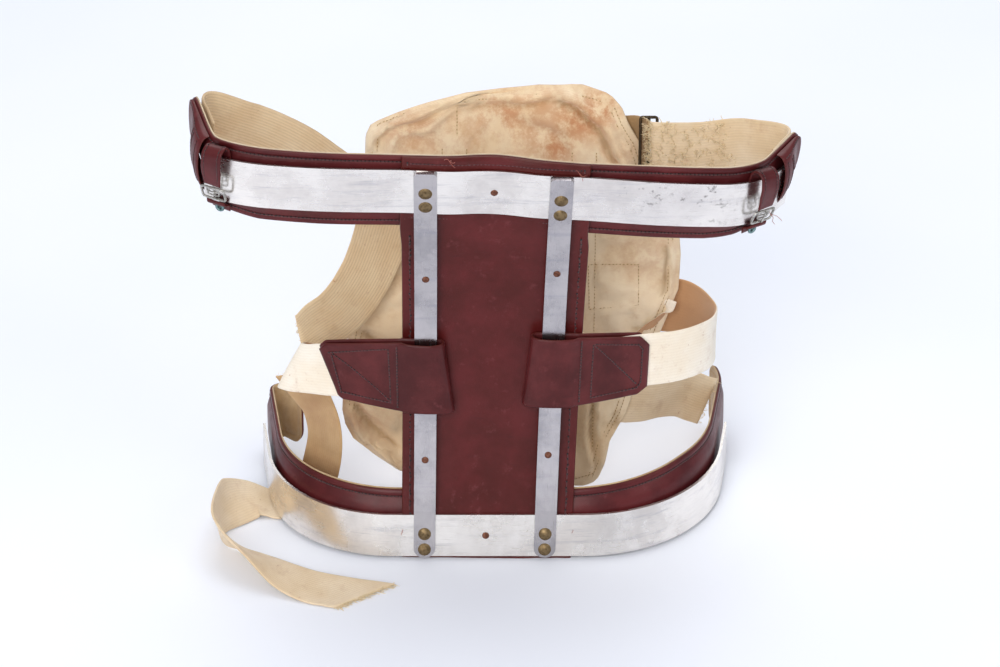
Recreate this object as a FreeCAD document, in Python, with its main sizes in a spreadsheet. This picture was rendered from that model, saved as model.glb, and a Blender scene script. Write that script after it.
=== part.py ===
"""Chair-back lumbar support brace: riveted aluminium frame, leather pads, abdominal apron and straps.

Millimetres, +Z up, +Y towards the wearer, +X to the right seen from behind the wearer. The origin is on
the surface that the brace stands on, below the outer face of the pelvic band and midway between the feet
of the two uprights.
"""

import FreeCAD, Part
import math
import os

import Sketcher

Vector = FreeCAD.Vector

# ---------------------------------------------------------------- driving dimensions

SIZES = {
    # frame profile, seen from the side: a straight foot, the lumbar arc and a straight head
    "ground_gap": 3.2,
    "foot_slope": 16.0,
    "foot_length": 36.0,
    "lumbar_radius": 478.0,
    "lumbar_turn": 29.0,
    "left_head": 42.0,
    "right_head": 37.0,
    # uprights
    "bar_width": 16.0,
    "bar_thick": 3.2,
    "bar_round": 7.0,
    "bar_chamfer": 2.0,
    "bar_spread": 44.5,
    "left_lean": 0.94,
    "right_lean": 1.85,
    # bands
    "band_thick": 2.0,
    "band_slip": 0.1,
    "head_slope": 13.0,
    "pelvic_height": 30.8,
    "thoracic_height": 37.0,
    "thoracic_roll": 3.3,
    "thoracic_yaw": 1.2,
    "thoracic_x": 7.0,
    "thoracic_y": 20.3,
    "thoracic_z": 278.6,
    # pelvic band and pad, seen from above
    "pelvic_left_flat": 68.0,
    "pelvic_left_radius": 100.0,
    "pelvic_left_leg": 46.0,
    "pelvic_right_flat": 73.0,
    "pelvic_right_radius": 112.0,
    "pelvic_right_leg": 38.0,
    "pelvic_turn": 80.0,
    "curl_radius": 15.0,
    "curl_turn": 150.0,
    "curl_end": 22.0,
    "pad_leg": 62.0,
    "hook_radius": 60.0,
    "hook_turn": 26.0,
    "hook_end": 10.0,
    # thoracic band and pad, seen from above
    "dish_radius": 98.0,
    "dish_turn": 11.5,
    "dish_flat": 17.0,
    "shoulder_radius": 200.0,
    "shoulder_turn": 4.0,
    "shoulder_line": 24.0,
    "side_radius": 400.0,
    "side_turn": 9.0,
    "right_corner_radius": 55.0,
    "right_corner_turn": 52.0,
    "right_end": 44.0,
    "right_band_end": 20.0,
    "left_corner_radius": 90.0,
    "left_corner_turn": 23.0,
    "left_hook_radius": 30.0,
    "left_hook_turn": 42.0,
    "left_band_turn": 24.0,
    "left_end": 42.0,
    # layers behind the bands
    "pad_gap": 5.4,
    "leather": 2.0,
    "felt": 4.0,
    "lining": 1.2,
    "pelvic_pad_height": 48.0,
    "thoracic_pad_height": 58.5,
    "thoracic_pad_drop": 11.0,
    # back panel
    "panel_width": 125.0,
    "panel_lean": 1.3,
    "panel_foot": 59.0,
    "panel_radius": 404.0,
    "panel_head": 5.5,
    "panel_head_flat": 25.0,
    "panel_spare": 3.0,
    "panel_x": 1.5,
    "panel_leather": 2.2,
    "panel_lining": 3.0,
    "panel_lining_width": 119.0,
    "panel_slack": 0.6,
    "panel_lining_lift": 1.5,
    "panel_lining_head": 2.0,
    # rivets
    "rivet_head": 9.6,
    "rivet_dome": 1.6,
    "rivet_shank": 4.8,
    "copper_rivet": 5.2,
    "copper_reach": 8.6,
    # loops
    "loop_height": 56.0,
    "loop_leather": 2.2,
    "loop_half": 15.0,
    "loop_clear": 0.6,
    "flap_length": 58.0,
    "flap_slope": 17.0,
    "left_flap_top": 17.3,
    "left_flap_low": 25.4,
    "right_flap_top": 22.0,
    "right_flap_low": 23.0,
    "flap_spare": 5.0,
    "slot_depth": 34.0,
    "webbing": 2.0,
    "strap_inset": 15.5,
    "slot_spare": 1.2,
    "side_strap_width": 43.0,
    "strap_width": 40.0,
    "tail_width": 38.0,
    # apron
    "apron_y": 93.0,
    "apron_lean": 10.0,
    "apron_width": 255.0,
    "apron_height": 320.0,
    "canvas": 1.6,
    "apron_core": 3.2,
    "stay_width": 11.0,
    "stay_length": 230.0,
    "stay_thick": 1.2,
    "apron_floor": 1.2,
    # end fittings
    "buckle_wide": 20.0,
    "buckle_high": 14.0,
    "wire": 1.8,
    "tab_width": 14.0,
    "retainer_width": 15.0,
    "retainer": 1.8,
    "pocket_height": 54.0,
    "tongue": 1.0,
    "eyelet": 7.0,
    "slide_high": 46.0,
    "slide_wide": 14.0,
}

document = FreeCAD.newDocument("lumbar_brace")
sheet = document.addObject("Spreadsheet::Sheet", "dims")
for row, (alias, value) in enumerate(SIZES.items(), start=1):
    sheet.set(f"A{row}", alias)
    sheet.set(f"B{row}", str(value))
    sheet.setAlias(f"B{row}", alias)
document.recompute()

NODES = []
X_AXIS, Y_AXIS, Z_AXIS = Vector(1, 0, 0), Vector(0, 1, 0), Vector(0, 0, 1)


def node(item, label):
    """Registers a finished sub-part under the name of its file."""
    item.Label = label
    NODES.append(item)
    return item


def cos(degrees):
    return math.cos(math.radians(degrees))


def sin(degrees):
    return math.sin(math.radians(degrees))


def at(cell):
    """The value of a cell, or of a sum of cells such as 'band_thick + pad_gap'."""
    if isinstance(cell, (int, float)):
        return float(cell)
    return sum(SIZES[word.strip()] for word in cell.split("+"))


def formula(cell):
    """The same sum as an expression of the document."""
    if isinstance(cell, (int, float)):
        return f"({cell})"
    return "(" + " + ".join(f"dims.{word.strip()}" for word in cell.split("+")) + ")"


def placed(base, axis=Z_AXIS, degrees=0):
    return FreeCAD.Placement(base, FreeCAD.Rotation(axis, degrees))


# ---------------------------------------------------------------- runs: lines and tangent arcs
# A run is a list of steps: ("line", length) or ("arc", radius, turn, side), where side is +1 if the run
# turns to its left and -1 to its right. Lengths, radii and turns are cells of the sheet.


def walk(start, heading, steps, offset=0.0, mirror=1):
    """Each step as (kind, start, end, centre, size), offset to the left; mirror -1 flips it about X."""
    x, y = start[0] - offset * sin(heading), start[1] + offset * cos(heading)
    result = []
    for step in steps:
        if step[0] == "line":
            size, centre = at(step[1]), None
            nx, ny = x + size * cos(heading), y + size * sin(heading)
        else:
            side = step[3]
            size = at(step[1]) - side * offset
            cx, cy = x - side * size * sin(heading), y + side * size * cos(heading)
            heading += side * at(step[2])
            nx, ny = cx + side * size * sin(heading), cy - side * size * cos(heading)
            centre = (cx, cy)
        points = [p and Vector(start[0] + mirror * (p[0] - start[0]), p[1], 0) for p in
                  ((x, y), (nx, ny), centre)]
        result.append((step[0], *points, size))
        x, y = nx, ny
    return result


def along(start, heading, steps, distance, mirror=1):
    """The point and the heading at a distance along a run."""
    x, y = start
    for step in steps:
        if step[0] == "line":
            length = min(distance, at(step[1]))
            x, y = x + length * cos(heading), y + length * sin(heading)
        else:
            radius, side = at(step[1]), step[3]
            length = min(distance, radius * math.radians(at(step[2])))
            cx, cy = x - side * radius * sin(heading), y + side * radius * cos(heading)
            heading += side * math.degrees(length / radius)
            x, y = cx + side * radius * sin(heading), cy - side * radius * cos(heading)
        distance -= length
        if distance <= 0:
            break
    return start[0] + mirror * (x - start[0]), y, heading


class Outline:
    """Draws runs in a sketch, keeps them tangent and binds their sizes to the sheet."""

    def __init__(self, sketch):
        self.sketch = sketch

    def tie(self, *what, expression=None):
        index = self.sketch.addConstraint(Sketcher.Constraint(*what))
        if expression:
            self.sketch.setExpression(f"Constraints[{index}]", expression)

    def run(self, start, heading, steps, offset, mirror=1, joined=None):
        """Draws one edge of a strip. Returns its first and last ends as (geometry, point)."""
        first = last = None
        for step, piece in zip(steps, walk(start, heading, steps, at(offset), mirror)):
            kind, p, q, centre, size = piece
            if kind == "line":
                index = self.sketch.addGeometry(Part.LineSegment(p, q), False)
                near, far = 1, 2
                self.tie("Distance", index, size, expression=formula(step[1]))
            else:
                near, far = (1, 2) if step[3] * mirror > 0 else (2, 1)
                ends = (p, q) if near == 1 else (q, p)
                angles = [math.atan2(e.y - centre.y, e.x - centre.x) for e in ends]
                if angles[1] < angles[0]:
                    angles[1] += 2 * math.pi
                circle = Part.Circle(centre, Z_AXIS, size)
                index = self.sketch.addGeometry(Part.ArcOfCircle(circle, *angles), False)
                sign = "-" if step[3] > 0 else "+"
                self.tie("Radius", index, size, expression=f"{formula(step[1])} {sign} {formula(offset)}")
                self.tie("Angle", index, angles[1] - angles[0], expression=f"{formula(step[2])} * 1 deg")
            if last:
                self.tie("Tangent", *last, index, near)
            else:
                first = (index, near)
                self.set_out(index, near, kind, heading, p, joined)
            last = (index, far)
        return first, last

    def set_out(self, index, near, kind, heading, p, joined):
        """Holds the first point of a run and the direction that it sets out in."""
        if joined:
            self.tie("Coincident", index, near, *joined)
        else:
            self.tie("DistanceX", index, near, p.x)
            self.tie("DistanceY", index, near, p.y)
        if kind == "arc":
            self.tie("Vertical", index, near, index, 3)
        elif heading == 0:
            self.tie("Horizontal", index)
        else:
            self.tie("Angle", index, math.radians(heading), expression="(90 - dims.foot_slope) * 1 deg")

    def close(self, one, other):
        ends = [self.sketch.getPoint(*one), self.sketch.getPoint(*other)]
        index = self.sketch.addGeometry(Part.LineSegment(*ends), False)
        self.tie("Coincident", index, 1, *one)
        self.tie("Coincident", index, 2, *other)

    def polygon(self, points, cells=None):
        """A closed outline of straight edges; cells gives each point's two expressions."""
        count = len(points)
        first = self.sketch.GeometryCount
        for i, p in enumerate(points):
            self.sketch.addGeometry(Part.LineSegment(Vector(*p, 0), Vector(*points[(i + 1) % count], 0)))
        for i, p in enumerate(points):
            self.tie("Coincident", first + i, 2, first + (i + 1) % count, 1)
            words = cells[i] if cells else (None, None)
            self.tie("DistanceX", first + i, 1, p[0], expression=words[0])
            self.tie("DistanceY", first + i, 1, p[1], expression=words[1])


def new_body(name):
    return document.addObject("PartDesign::Body", name)


def new_sketch(body, role):
    sketch = body.newObject("Sketcher::SketchObject", f"{body.Name}_outline")
    plane = next(p for p in body.Origin.OriginFeatures if p.Role == role)
    sketch.AttachmentSupport = (plane, "")
    sketch.MapMode = "FlatFace"
    return sketch


def pad(body, sketch, height, direction=None, midplane=False):
    feature = body.newObject("PartDesign::Pad", f"{body.Name}_pad")
    feature.Profile = sketch
    feature.setExpression("Length", formula(height))
    if midplane:
        feature.Midplane = True
    if direction:
        feature.UseCustomVector = True
        feature.Direction = direction
        feature.AlongSketchNormal = True
    return feature


def planform_strip(name, start, left, right, near, far, height, slope):
    """A wall on two runs that set out from its middle, its height drawn out along a sloping line."""
    body = new_body(name)
    sketch = new_sketch(body, "XY_Plane")
    draw = Outline(sketch)
    outer, inner = (draw.run(start, 0, right, offset) for offset in (near, far))
    draw.close(outer[1], inner[1])
    ends = [draw.run(start, 0, left, offset, -1, joined=edge[0])[1]
            for offset, edge in ((near, outer), (far, inner))]
    draw.close(*ends)
    pad(body, sketch, height, direction=Vector(0, sin(slope), cos(slope)))
    return body


def profile_strip(name, start, steps, near, far, width):
    """A bar or sheet whose side view follows a run, as wide as the cell says, centred on X = 0."""
    body = new_body(name)
    sketch = new_sketch(body, "YZ_Plane")
    draw = Outline(sketch)
    heading = 90 - at("foot_slope")
    edges = [draw.run(start, heading, steps, offset) for offset in (near, far)]
    draw.close(edges[0][0], edges[1][0])
    draw.close(edges[0][1], edges[1][1])
    pad(body, sketch, width, midplane=True)
    return body


def ribbon(name, stations, width, thick):
    """A strap as a ruled loft. A station is a centre point and the direction across the strap."""
    sections = []
    centres = [Vector(*point) for point, across in stations]
    for i, (point, across) in enumerate(stations):
        ahead = centres[min(i + 1, len(centres) - 1)] - centres[max(i - 1, 0)]
        across = Vector(*across).normalize()
        across = (across - ahead.normalize() * across.dot(ahead)).normalize()
        face = ahead.cross(across)
        half, skin = across * (at(width) / 2), face * (at(thick) / 2)
        corners = [centres[i] + half + skin, centres[i] - half + skin,
                   centres[i] - half - skin, centres[i] + half - skin]
        sections.append(Part.makePolygon(corners + corners[:1]))
    strap = document.addObject("Part::Feature", name)
    strap.Shape = Part.makeLoft(sections, True, True)
    return strap


def cut(name, base, tools):
    """The base with holes: tools is a list of objects whose volumes are taken away."""
    result = base
    for index, tool in enumerate(tools):
        piece = document.addObject("Part::Cut", f"{name}_cut_{index}")
        piece.Base, piece.Tool = result, tool
        result = piece
    return result


# ---------------------------------------------------------------- the side profile and its lumbar arc

PROFILE_START = (0.0, at("ground_gap"))
PROFILE_HEADING = 90 - at("foot_slope")
LUMBAR_STEPS = [("line", "foot_length"), ("arc", "lumbar_radius", "lumbar_turn", 1)]
LUMBAR_CENTRE = walk(PROFILE_START, PROFILE_HEADING, LUMBAR_STEPS)[1][3]


def bar_steps(side):
    return LUMBAR_STEPS + [("line", f"{side}_head")]


def bar_placement(side):
    sign = -1 if side == "left" else 1
    turn = FreeCAD.Rotation(Y_AXIS, at(f"{side}_lean"))
    pivot = Vector(0, 0, at("ground_gap"))
    return FreeCAD.Placement(Vector(sign * at("bar_spread"), 0, 0), turn, pivot)


def face_frame(side, distance, depth):
    """A placement on an upright: Z points out of its outer face, at a depth below that face."""
    y, z, heading = along(PROFILE_START, PROFILE_HEADING, bar_steps(side), distance)
    out = Vector(0, -sin(heading), cos(heading))
    point = Vector(0, y, z) + out * (at("bar_thick") - depth)
    own = FreeCAD.Placement(point, FreeCAD.Rotation(Z_AXIS, out))
    return bar_placement(side).multiply(own)


def shank(name, radius, length, place):
    rod = document.addObject("Part::Cylinder", name)
    rod.setExpression("Radius", f"dims.{radius} / 2")
    rod.Height = length
    rod.Placement = place
    return rod


# ---------------------------------------------------------------- rivets

FOOT_RIVETS = (6.3, 18.3)
HEAD_RIVETS = {"left": (17.2, 29.2), "right": (18.5, 31.5)}
COPPER_HEIGHTS = {"left": (77.0, 226.0), "right": (81.0, 231.0)}
BAND_RIVET_X = {"pelvic": 1.0, "thoracic": 6.5}


def bar_length(side):
    arc = at("lumbar_radius") * math.radians(at("lumbar_turn"))
    return at("foot_length") + arc + at(f"{side}_head")


def brass_places():
    """Where each brass rivet goes through an upright and a band: (side, end, distance)."""
    for side in ("left", "right"):
        for distance in FOOT_RIVETS:
            yield side, "pelvic", distance
        for distance in HEAD_RIVETS[side]:
            yield side, "thoracic", bar_length(side) - distance


def copper_places():
    """The copper rivets of the uprights: (side, distance along the bar)."""
    foot_top = at("foot_length")
    for side in ("left", "right"):
        for height in COPPER_HEIGHTS[side]:
            rise = math.degrees(math.asin((height - LUMBAR_CENTRE.y) / at("lumbar_radius")))
            yield side, foot_top + at("lumbar_radius") * math.radians(rise + at("foot_slope"))


def rivets():
    """Brass rivets hold the uprights to the bands: one solid each, a domed head and a flush tail."""
    grip = at("bar_thick") + at("band_thick") + at("band_slip")
    crown = at("rivet_head") ** 2 / (8 * at("rivet_dome")) + at("rivet_dome") / 2
    solids = []
    for side, end, distance in brass_places():
        frame = face_frame(side, distance, 0)
        ball = Part.makeSphere(crown, Vector(0, 0, at("rivet_dome") - crown), Z_AXIS, 0, 90, 360)
        head = ball.common(Part.makeCylinder(at("rivet_head"), at("rivet_dome")))
        rivet = head.fuse(Part.makeCylinder(at("rivet_shank") / 2, grip, Vector(0, 0, -grip)))
        solids.append(rivet.transformGeometry(frame.toMatrix()).removeSplitter())
    group = document.addObject("Part::Feature", "frame_rivets_group")
    group.Shape = Part.makeCompound(solids)
    return node(group, "frame_rivets")


def band_frame(band):
    """A placement on the middle of a band's outer face, Z pointing out of it."""
    if band == "pelvic":
        up = at("pelvic_height") / 2
        point = Vector(BAND_RIVET_X[band], up * math.tan(math.radians(at("foot_slope"))),
                       at("ground_gap") + up)
        return FreeCAD.Placement(point, FreeCAD.Rotation(Z_AXIS, Vector(0, -cos(at("foot_slope")),
                                                                        sin(at("foot_slope")))))
    up = at("thoracic_height") / 2
    point = Vector(0, at("thoracic_y") - up * math.tan(math.radians(at("head_slope"))), up)
    out = Vector(0, -cos(at("head_slope")), -sin(at("head_slope")))
    return THORACIC_PLACE.multiply(FreeCAD.Placement(point, FreeCAD.Rotation(Z_AXIS, out)))


# ---------------------------------------------------------------- bands

PELVIC_START = (0.0, 0.0)
PELVIC_LEFT = [("line", "pelvic_left_flat"), ("arc", "pelvic_left_radius", "pelvic_turn", 1)]
PELVIC_RIGHT = [("line", "pelvic_right_flat"), ("arc", "pelvic_right_radius", "pelvic_turn", 1)]
THORACIC_START = (0.0, at("thoracic_y"))
THORACIC_MIDDLE = [
    ("arc", "dish_radius", "dish_turn", -1),
    ("arc", "dish_radius", "dish_turn", 1),
    ("line", "dish_flat"),
    ("arc", "shoulder_radius", "shoulder_turn", -1),
    ("line", "shoulder_line"),
    ("arc", "side_radius", "side_turn", 1),
]
THORACIC_LEFT = THORACIC_MIDDLE + [("arc", "left_corner_radius", "left_corner_turn", 1)]
THORACIC_RIGHT = THORACIC_MIDDLE + [("arc", "right_corner_radius", "right_corner_turn", 1)]
THORACIC_TURN = FreeCAD.Rotation(Z_AXIS, at("thoracic_yaw")).multiply(
    FreeCAD.Rotation(Y_AXIS, at("thoracic_roll")))
THORACIC_PLACE = FreeCAD.Placement(Vector(at("thoracic_x"), 0, at("thoracic_z")), THORACIC_TURN)
PELVIC_PLACE = placed(Vector(0, 0, at("ground_gap")))


def bands(holes):
    left = PELVIC_LEFT + [("line", "pelvic_left_leg")]
    right = PELVIC_RIGHT + [("line", "pelvic_right_leg")]
    body = planform_strip("pelvic_blank", PELVIC_START, left, right, "band_slip", "band_slip + band_thick",
                          "pelvic_height", at("foot_slope"))
    body.Placement = PELVIC_PLACE
    node(cut("pelvic", body, holes["pelvic"]), "pelvic_band")
    left = THORACIC_LEFT + [("arc", "left_hook_radius", "left_band_turn", 1)]
    right = THORACIC_RIGHT + [("line", "right_band_end")]
    body = planform_strip("thoracic_blank", THORACIC_START, left, right, 0, "band_thick",
                          "thoracic_height", -at("head_slope"))
    body.Placement = THORACIC_PLACE
    node(cut("thoracic", body, holes["thoracic"]), "thoracic_band")


# ---------------------------------------------------------------- uprights and panel


def uprights(holes):
    for side in ("left", "right"):
        body = profile_strip(f"{side}_bar", PROFILE_START, bar_steps(side), 0, "bar_thick", "bar_width")
        document.recompute()
        round_ends(body, side)
        body.Placement = bar_placement(side)
        node(cut(f"{side}_bar", body, holes[side]), f"{side}_upright")


def corner_edges(shape, low):
    """The short edges at the bar's lower or upper end that run through its thickness."""
    names = []
    middle = shape.BoundBox.Center.z
    for index, edge in enumerate(shape.Edges, start=1):
        through = abs(edge.Length - at("bar_thick")) < 0.01
        if through and (edge.CenterOfMass.z < middle) == low:
            names.append(f"Edge{index}")
    return names


def round_ends(body, side):
    """The foot is rounded and the head has small chamfers."""
    blank = body.Tip
    fillet = body.newObject("PartDesign::Fillet", f"{side}_foot_round")
    fillet.Base = (blank, corner_edges(blank.Shape, True))
    fillet.setExpression("Radius", "dims.bar_round")
    document.recompute()
    bevel = body.newObject("PartDesign::Chamfer", f"{side}_head_bevel")
    bevel.Base = (fillet, corner_edges(fillet.Shape, False))
    bevel.setExpression("Size", "dims.bar_chamfer")


def panel(holes, head_holes):
    """Leather outside and a soft lining inside, pulled away from the bars where the loops slide."""
    steps = [("line", "panel_foot + panel_spare"), ("arc", "panel_radius", "lumbar_turn", 1),
             ("line", "panel_head")]
    gap = at("band_thick + panel_slack")
    across, up = (sin(PROFILE_HEADING), -cos(PROFILE_HEADING)), (cos(PROFILE_HEADING), sin(PROFILE_HEADING))
    drop = at("ground_gap") / up[1] + at("panel_spare")
    foot = (gap * across[0] - drop * up[0], at("ground_gap") + gap * across[1] - drop * up[1])
    lean = FreeCAD.Placement(Vector(at("panel_x"), 0, 0), FreeCAD.Rotation(Y_AXIS, at("panel_lean")))
    body = profile_strip("panel_leather_blank", foot, steps, 0, -at("panel_leather"), "panel_width")
    body.Placement = lean
    ground = document.addObject("Part::Box", "ground")
    ground.setExpression("Length", "2 * dims.panel_width")
    ground.setExpression("Width", "dims.panel_foot")
    ground.setExpression("Height", "dims.panel_foot")
    ground.Placement = placed(Vector(-at("panel_width"), -at("panel_foot") / 2, -at("panel_foot")))
    node(cut("panel_leather", body, holes + [ground]), "back_panel_leather")
    skip = at("panel_foot + panel_spare") - at("panel_lining_lift")
    start = (foot[0] + skip * up[0], foot[1] + skip * up[1])
    steps[0], steps[2] = ("line", "panel_lining_lift"), ("line", "panel_lining_head")
    body = profile_strip("panel_lining_blank", start, steps, -at("panel_leather"),
                         -at("panel_leather") - at("panel_lining"), "panel_lining_width")
    body.Placement = lean
    node(body, "back_panel_lining")
    middle = [THORACIC_MIDDLE[0], THORACIC_MIDDLE[1], ("line", "panel_head_flat")]
    slope = at("head_slope")
    start = (0.0, at("thoracic_y") + at("thoracic_pad_drop") * math.tan(math.radians(slope)))
    body = planform_strip("panel_head_blank", start, middle, middle, "band_thick + panel_slack",
                          "band_thick + panel_slack + panel_leather", "thoracic_pad_height", -slope)
    body.Placement = PAD_PLACE
    node(cut("panel_head", body, head_holes), "panel_head_leather")


# ---------------------------------------------------------------- pads

PAD_PLACE = THORACIC_PLACE.multiply(placed(Vector(0, 0, -at("thoracic_pad_drop"))))
PELVIC_PAD_LEFT = PELVIC_LEFT + [
    ("line", "pad_leg"), ("arc", "curl_radius", "curl_turn", 1), ("line", "curl_end")]
PELVIC_PAD_RIGHT = PELVIC_RIGHT + [
    ("line", "pad_leg"), ("arc", "hook_radius", "hook_turn", 1), ("line", "hook_end")]
THORACIC_PAD_LEFT = THORACIC_LEFT + [("arc", "left_hook_radius", "left_hook_turn", 1), ("line", "left_end")]
THORACIC_PAD_RIGHT = THORACIC_RIGHT + [("line", "right_end")]
LAYERS = {
    "leather": ("pad_gap", "pad_gap + leather"),
    "felt": ("pad_gap + leather", "pad_gap + leather + felt"),
    "lining": ("pad_gap + leather + felt", "pad_gap + leather + felt + lining"),
}


def pads():
    """Each pad is a leather face, a felt filling and a soft lining, bent to its band."""
    drop = at("thoracic_pad_drop") * math.tan(math.radians(at("head_slope")))
    plans = {
        "pelvic": (PELVIC_START, PELVIC_PAD_LEFT, PELVIC_PAD_RIGHT, at("foot_slope"), PELVIC_PLACE),
        "thoracic": ((0.0, at("thoracic_y") + drop), THORACIC_PAD_LEFT, THORACIC_PAD_RIGHT,
                     -at("head_slope"), PAD_PLACE),
    }
    for name, (start, left, right, slope, place) in plans.items():
        for layer, (near, far) in LAYERS.items():
            body = planform_strip(f"{name}_{layer}_body", start, left, right, near, far,
                                  f"{name}_pad_height", slope)
            body.Placement = place
            node(body, f"{name}_pad_{layer}")


# ---------------------------------------------------------------- upright loops


def loops():
    """A leather strap round each upright, its two ends sewn over the side strap's webbing."""
    skin, clear, half = at("loop_leather"), at("loop_clear"), at("loop_half")
    inner = at("lumbar_radius") + clear
    outer = at("lumbar_radius") - at("bar_thick") - clear
    wing, rise = at("flap_length") * cos(at("flap_slope")), at("flap_length") * sin(at("flap_slope"))
    slot, deep = at("webbing") + at("slot_spare"), at("slot_depth") / at("flap_length")
    thick = 2 * skin + slot
    front = outer - skin
    for side, sign in (("left", -1), ("right", 1)):
        body = new_body(f"{side}_loop")
        draw = Outline(new_sketch(body, "XY_Plane"))
        tip = (sign * (half + wing), front + rise)
        mouth = (sign * (half + wing * (1 - deep)), front + rise * (1 - deep))
        points = [
            (-sign * (half + skin), front), (sign * half, front), tip, (tip[0], tip[1] + skin),
            (mouth[0], mouth[1] + skin), (mouth[0], mouth[1] + skin + slot),
            (tip[0], tip[1] + skin + slot), (tip[0], tip[1] + thick),
            (sign * (half + skin), inner + skin), (-sign * (half + skin), inner + skin)]
        draw.polygon(points)
        draw.polygon([(-sign * half, outer), (sign * half, outer), (sign * half, inner),
                      (-sign * half, inner)])
        turn = body.newObject("PartDesign::Revolution", f"{side}_loop_turn")
        turn.Profile = draw.sketch
        turn.ReferenceAxis = (draw.sketch, ["H_Axis"])
        turn.setExpression("Angle", "dims.loop_height / dims.lumbar_radius * 1 rad")
        turn.Midplane = True
        taper(body, side, sign, half + skin, half + wing)
        angle = math.degrees(math.asin((LOOP_HEIGHTS[side] - LUMBAR_CENTRE.y) / at("lumbar_radius")))
        own = placed(Vector(0, LUMBAR_CENTRE.x, LUMBAR_CENTRE.y), X_AXIS, angle)
        body.Placement = bar_placement(side).multiply(own)
        node(body, f"{side}_upright_loop")


LOOP_HEIGHTS = {"left": 144.0, "right": 149.0}


def taper(body, side, sign, near, tip):
    """Trims the flap's upper and lower edges down to the width of its strap."""
    draw = Outline(new_sketch(body, "XZ_Plane"))
    full = at("loop_height") / 2
    for edge, flip in (("top", 1), ("low", -1)):
        end = at(f"{side}_flap_{edge}")
        beyond = end - (full - end) / (tip - near) * at("flap_spare")
        draw.polygon([(sign * near, flip * full), (sign * (tip + at("flap_spare")), flip * beyond),
                      (sign * (tip + at("flap_spare")), flip * (full + at("flap_spare"))),
                      (sign * near, flip * (full + at("flap_spare")))])
    trim = body.newObject("PartDesign::Pocket", f"{side}_flap_taper")
    trim.Profile = draw.sketch
    trim.Type = 1
    trim.Midplane = True


# ---------------------------------------------------------------- straps

UP = (0, 0, 1)
# Free stretches of the straps: each station is a centre point and the direction across the strap.
STRAPS = {
    "left_side_strap": ("side_strap_width", [
        ((-83, 33.1, 143), (0.08, 0.034, 1)), ((-113.5, 42.4, 140), (0.08, 0.034, 1)),
        ((-127, 52, 136), (0.14, -0.03, 1)),
        ((-141, 62, 130), (0.35, -0.07, 0.93)), ((-147, 70, 124), (0.44, -0.09, 0.89)),
        ((-143, 77, 114), (0.6, -0.15, 0.75))]),
    "lower_left_strap": ("tail_width", [
        ((-135, 79, 103), (0.85, -0.35, 0.3)), ((-124, 79, 80), (0.78, -0.6, 0)),
        ((-121, 77, 58), (0.72, -0.7, 0)), ((-124, 75, 38), (0.7, -0.7, -0.1)),
        ((-131, 72, 18), (0.6, -0.75, -0.1)), ((-139, 71, 6.5), (0.45, -0.88, 0)),
        ((-150, 69.8, 2.4), (0.3, -0.95, 0))]),
    "loose_strap_tail": ("tail_width", [
        ((-150.8, 70, 1.6), (0.3, -0.95, 0)), ((-166, 73, 1.7), (0.15, -0.99, 0)),
        ((-178, 71, 7.4), (0.45, -0.85, -0.3)), ((-189, 58, 14.0), (0.35, -0.7, -0.62)),
        ((-197, 42, 18.8), (0.12, -0.4, -0.9)), ((-200, 27, 20.2), (0.1, 0, -1)),
        ((-197, 12, 19.2), (0.25, 0.2, -0.94)), ((-186, -1, 17.1), (0.4, 0.45, -0.8)),
        ((-165, -15, 11.2), (0.4, 0.75, -0.5)), ((-145, -27, 4.2), (0.3, 0.93, -0.13)),
        ((-125, -37, 1.5), (0.25, 0.97, 0)), ((-105, -43, 1.3), (0.2, 0.98, 0)),
        ((-84, -48, 1.3), (0.2, 0.98, 0))]),
    "left_apron_strap": ("side_strap_width", [
        ((-133, 86, 146), (-0.38, -0.06, 0.92)), ((-110, 95, 156), (-0.44, -0.05, 0.9)),
        ((-92, 106, 176), (-0.57, -0.06, 0.82)), ((-79, 118, 202), (-0.75, -0.1, 0.65)),
        ((-70, 126, 232), (-0.85, 0, 0.5))]),
    "right_side_strap": ("side_strap_width", [
        ((90, 33.3, 149), (0, 0.033, 1)), ((120.5, 42.6, 148), (0, 0.033, 1)), ((138, 50, 146), UP),
        ((156, 61, 145), UP), ((169, 76, 144), UP), ((172, 89, 144), UP), ((169, 103, 144), UP),
        ((161, 118, 144), (0, 0.1, 1)), ((150, 128, 144), (0, 0.17, 1)), ((134, 131.5, 144), (0, 0.17, 1))]),
    "upper_left_strap": ("strap_width", [
        ((-172, 99, 307), (0.2, -0.1, 1)), ((-140, 118, 281), (0.3, 0, 1)),
        ((-107, 129.5, 251), (0.3, 0.12, 1)), ((-92, 133.1, 239), (0.3, 0.17, 1)),
        ((-78, 131.5, 229), (0.3, 0.17, 1))]),
    "upper_right_strap": ("strap_width", [
        ((191, 104, 289), (0, -0.05, 1)), ((158, 120, 281), (0, 0.05, 1)),
        ((134, 131, 275), (0, 0.17, 1)), ((123, 134.3, 274), (0, 0.17, 1))]),
    "apron_webbing_tab": ("strap_width", [
        ((119, 134.6, 274), (0, 0.17, 1)), ((112.5, 134.8, 274), (0, 0.17, 1)),
        ((106, 139.2, 273), (0, 0.17, 1)), ((100, 139.6, 272), (0, 0.17, 1)),
        ((86, 139.6, 272), (0, 0.17, 1))]),
    "lower_right_strap": ("strap_width", [
        ((170, 156, 46), UP), ((158, 149, 53), (0.1, 0, 1)), ((142, 133, 62), (0.2, 0, 1)),
        ((124, 118, 68), (0.2, 0.1, 1)), ((112, 113.6, 71), (0.15, 0.17, 1)),
        ((98, 113.6, 72), (0.15, 0.17, 1))]),
}
# Where the two upper straps lie on the pads' linings, as distances along the upper band.
SEWN = {"upper_left_strap": (-1, (228, 241, 254)), "upper_right_strap": (1, (224, 238, 249))}


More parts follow.
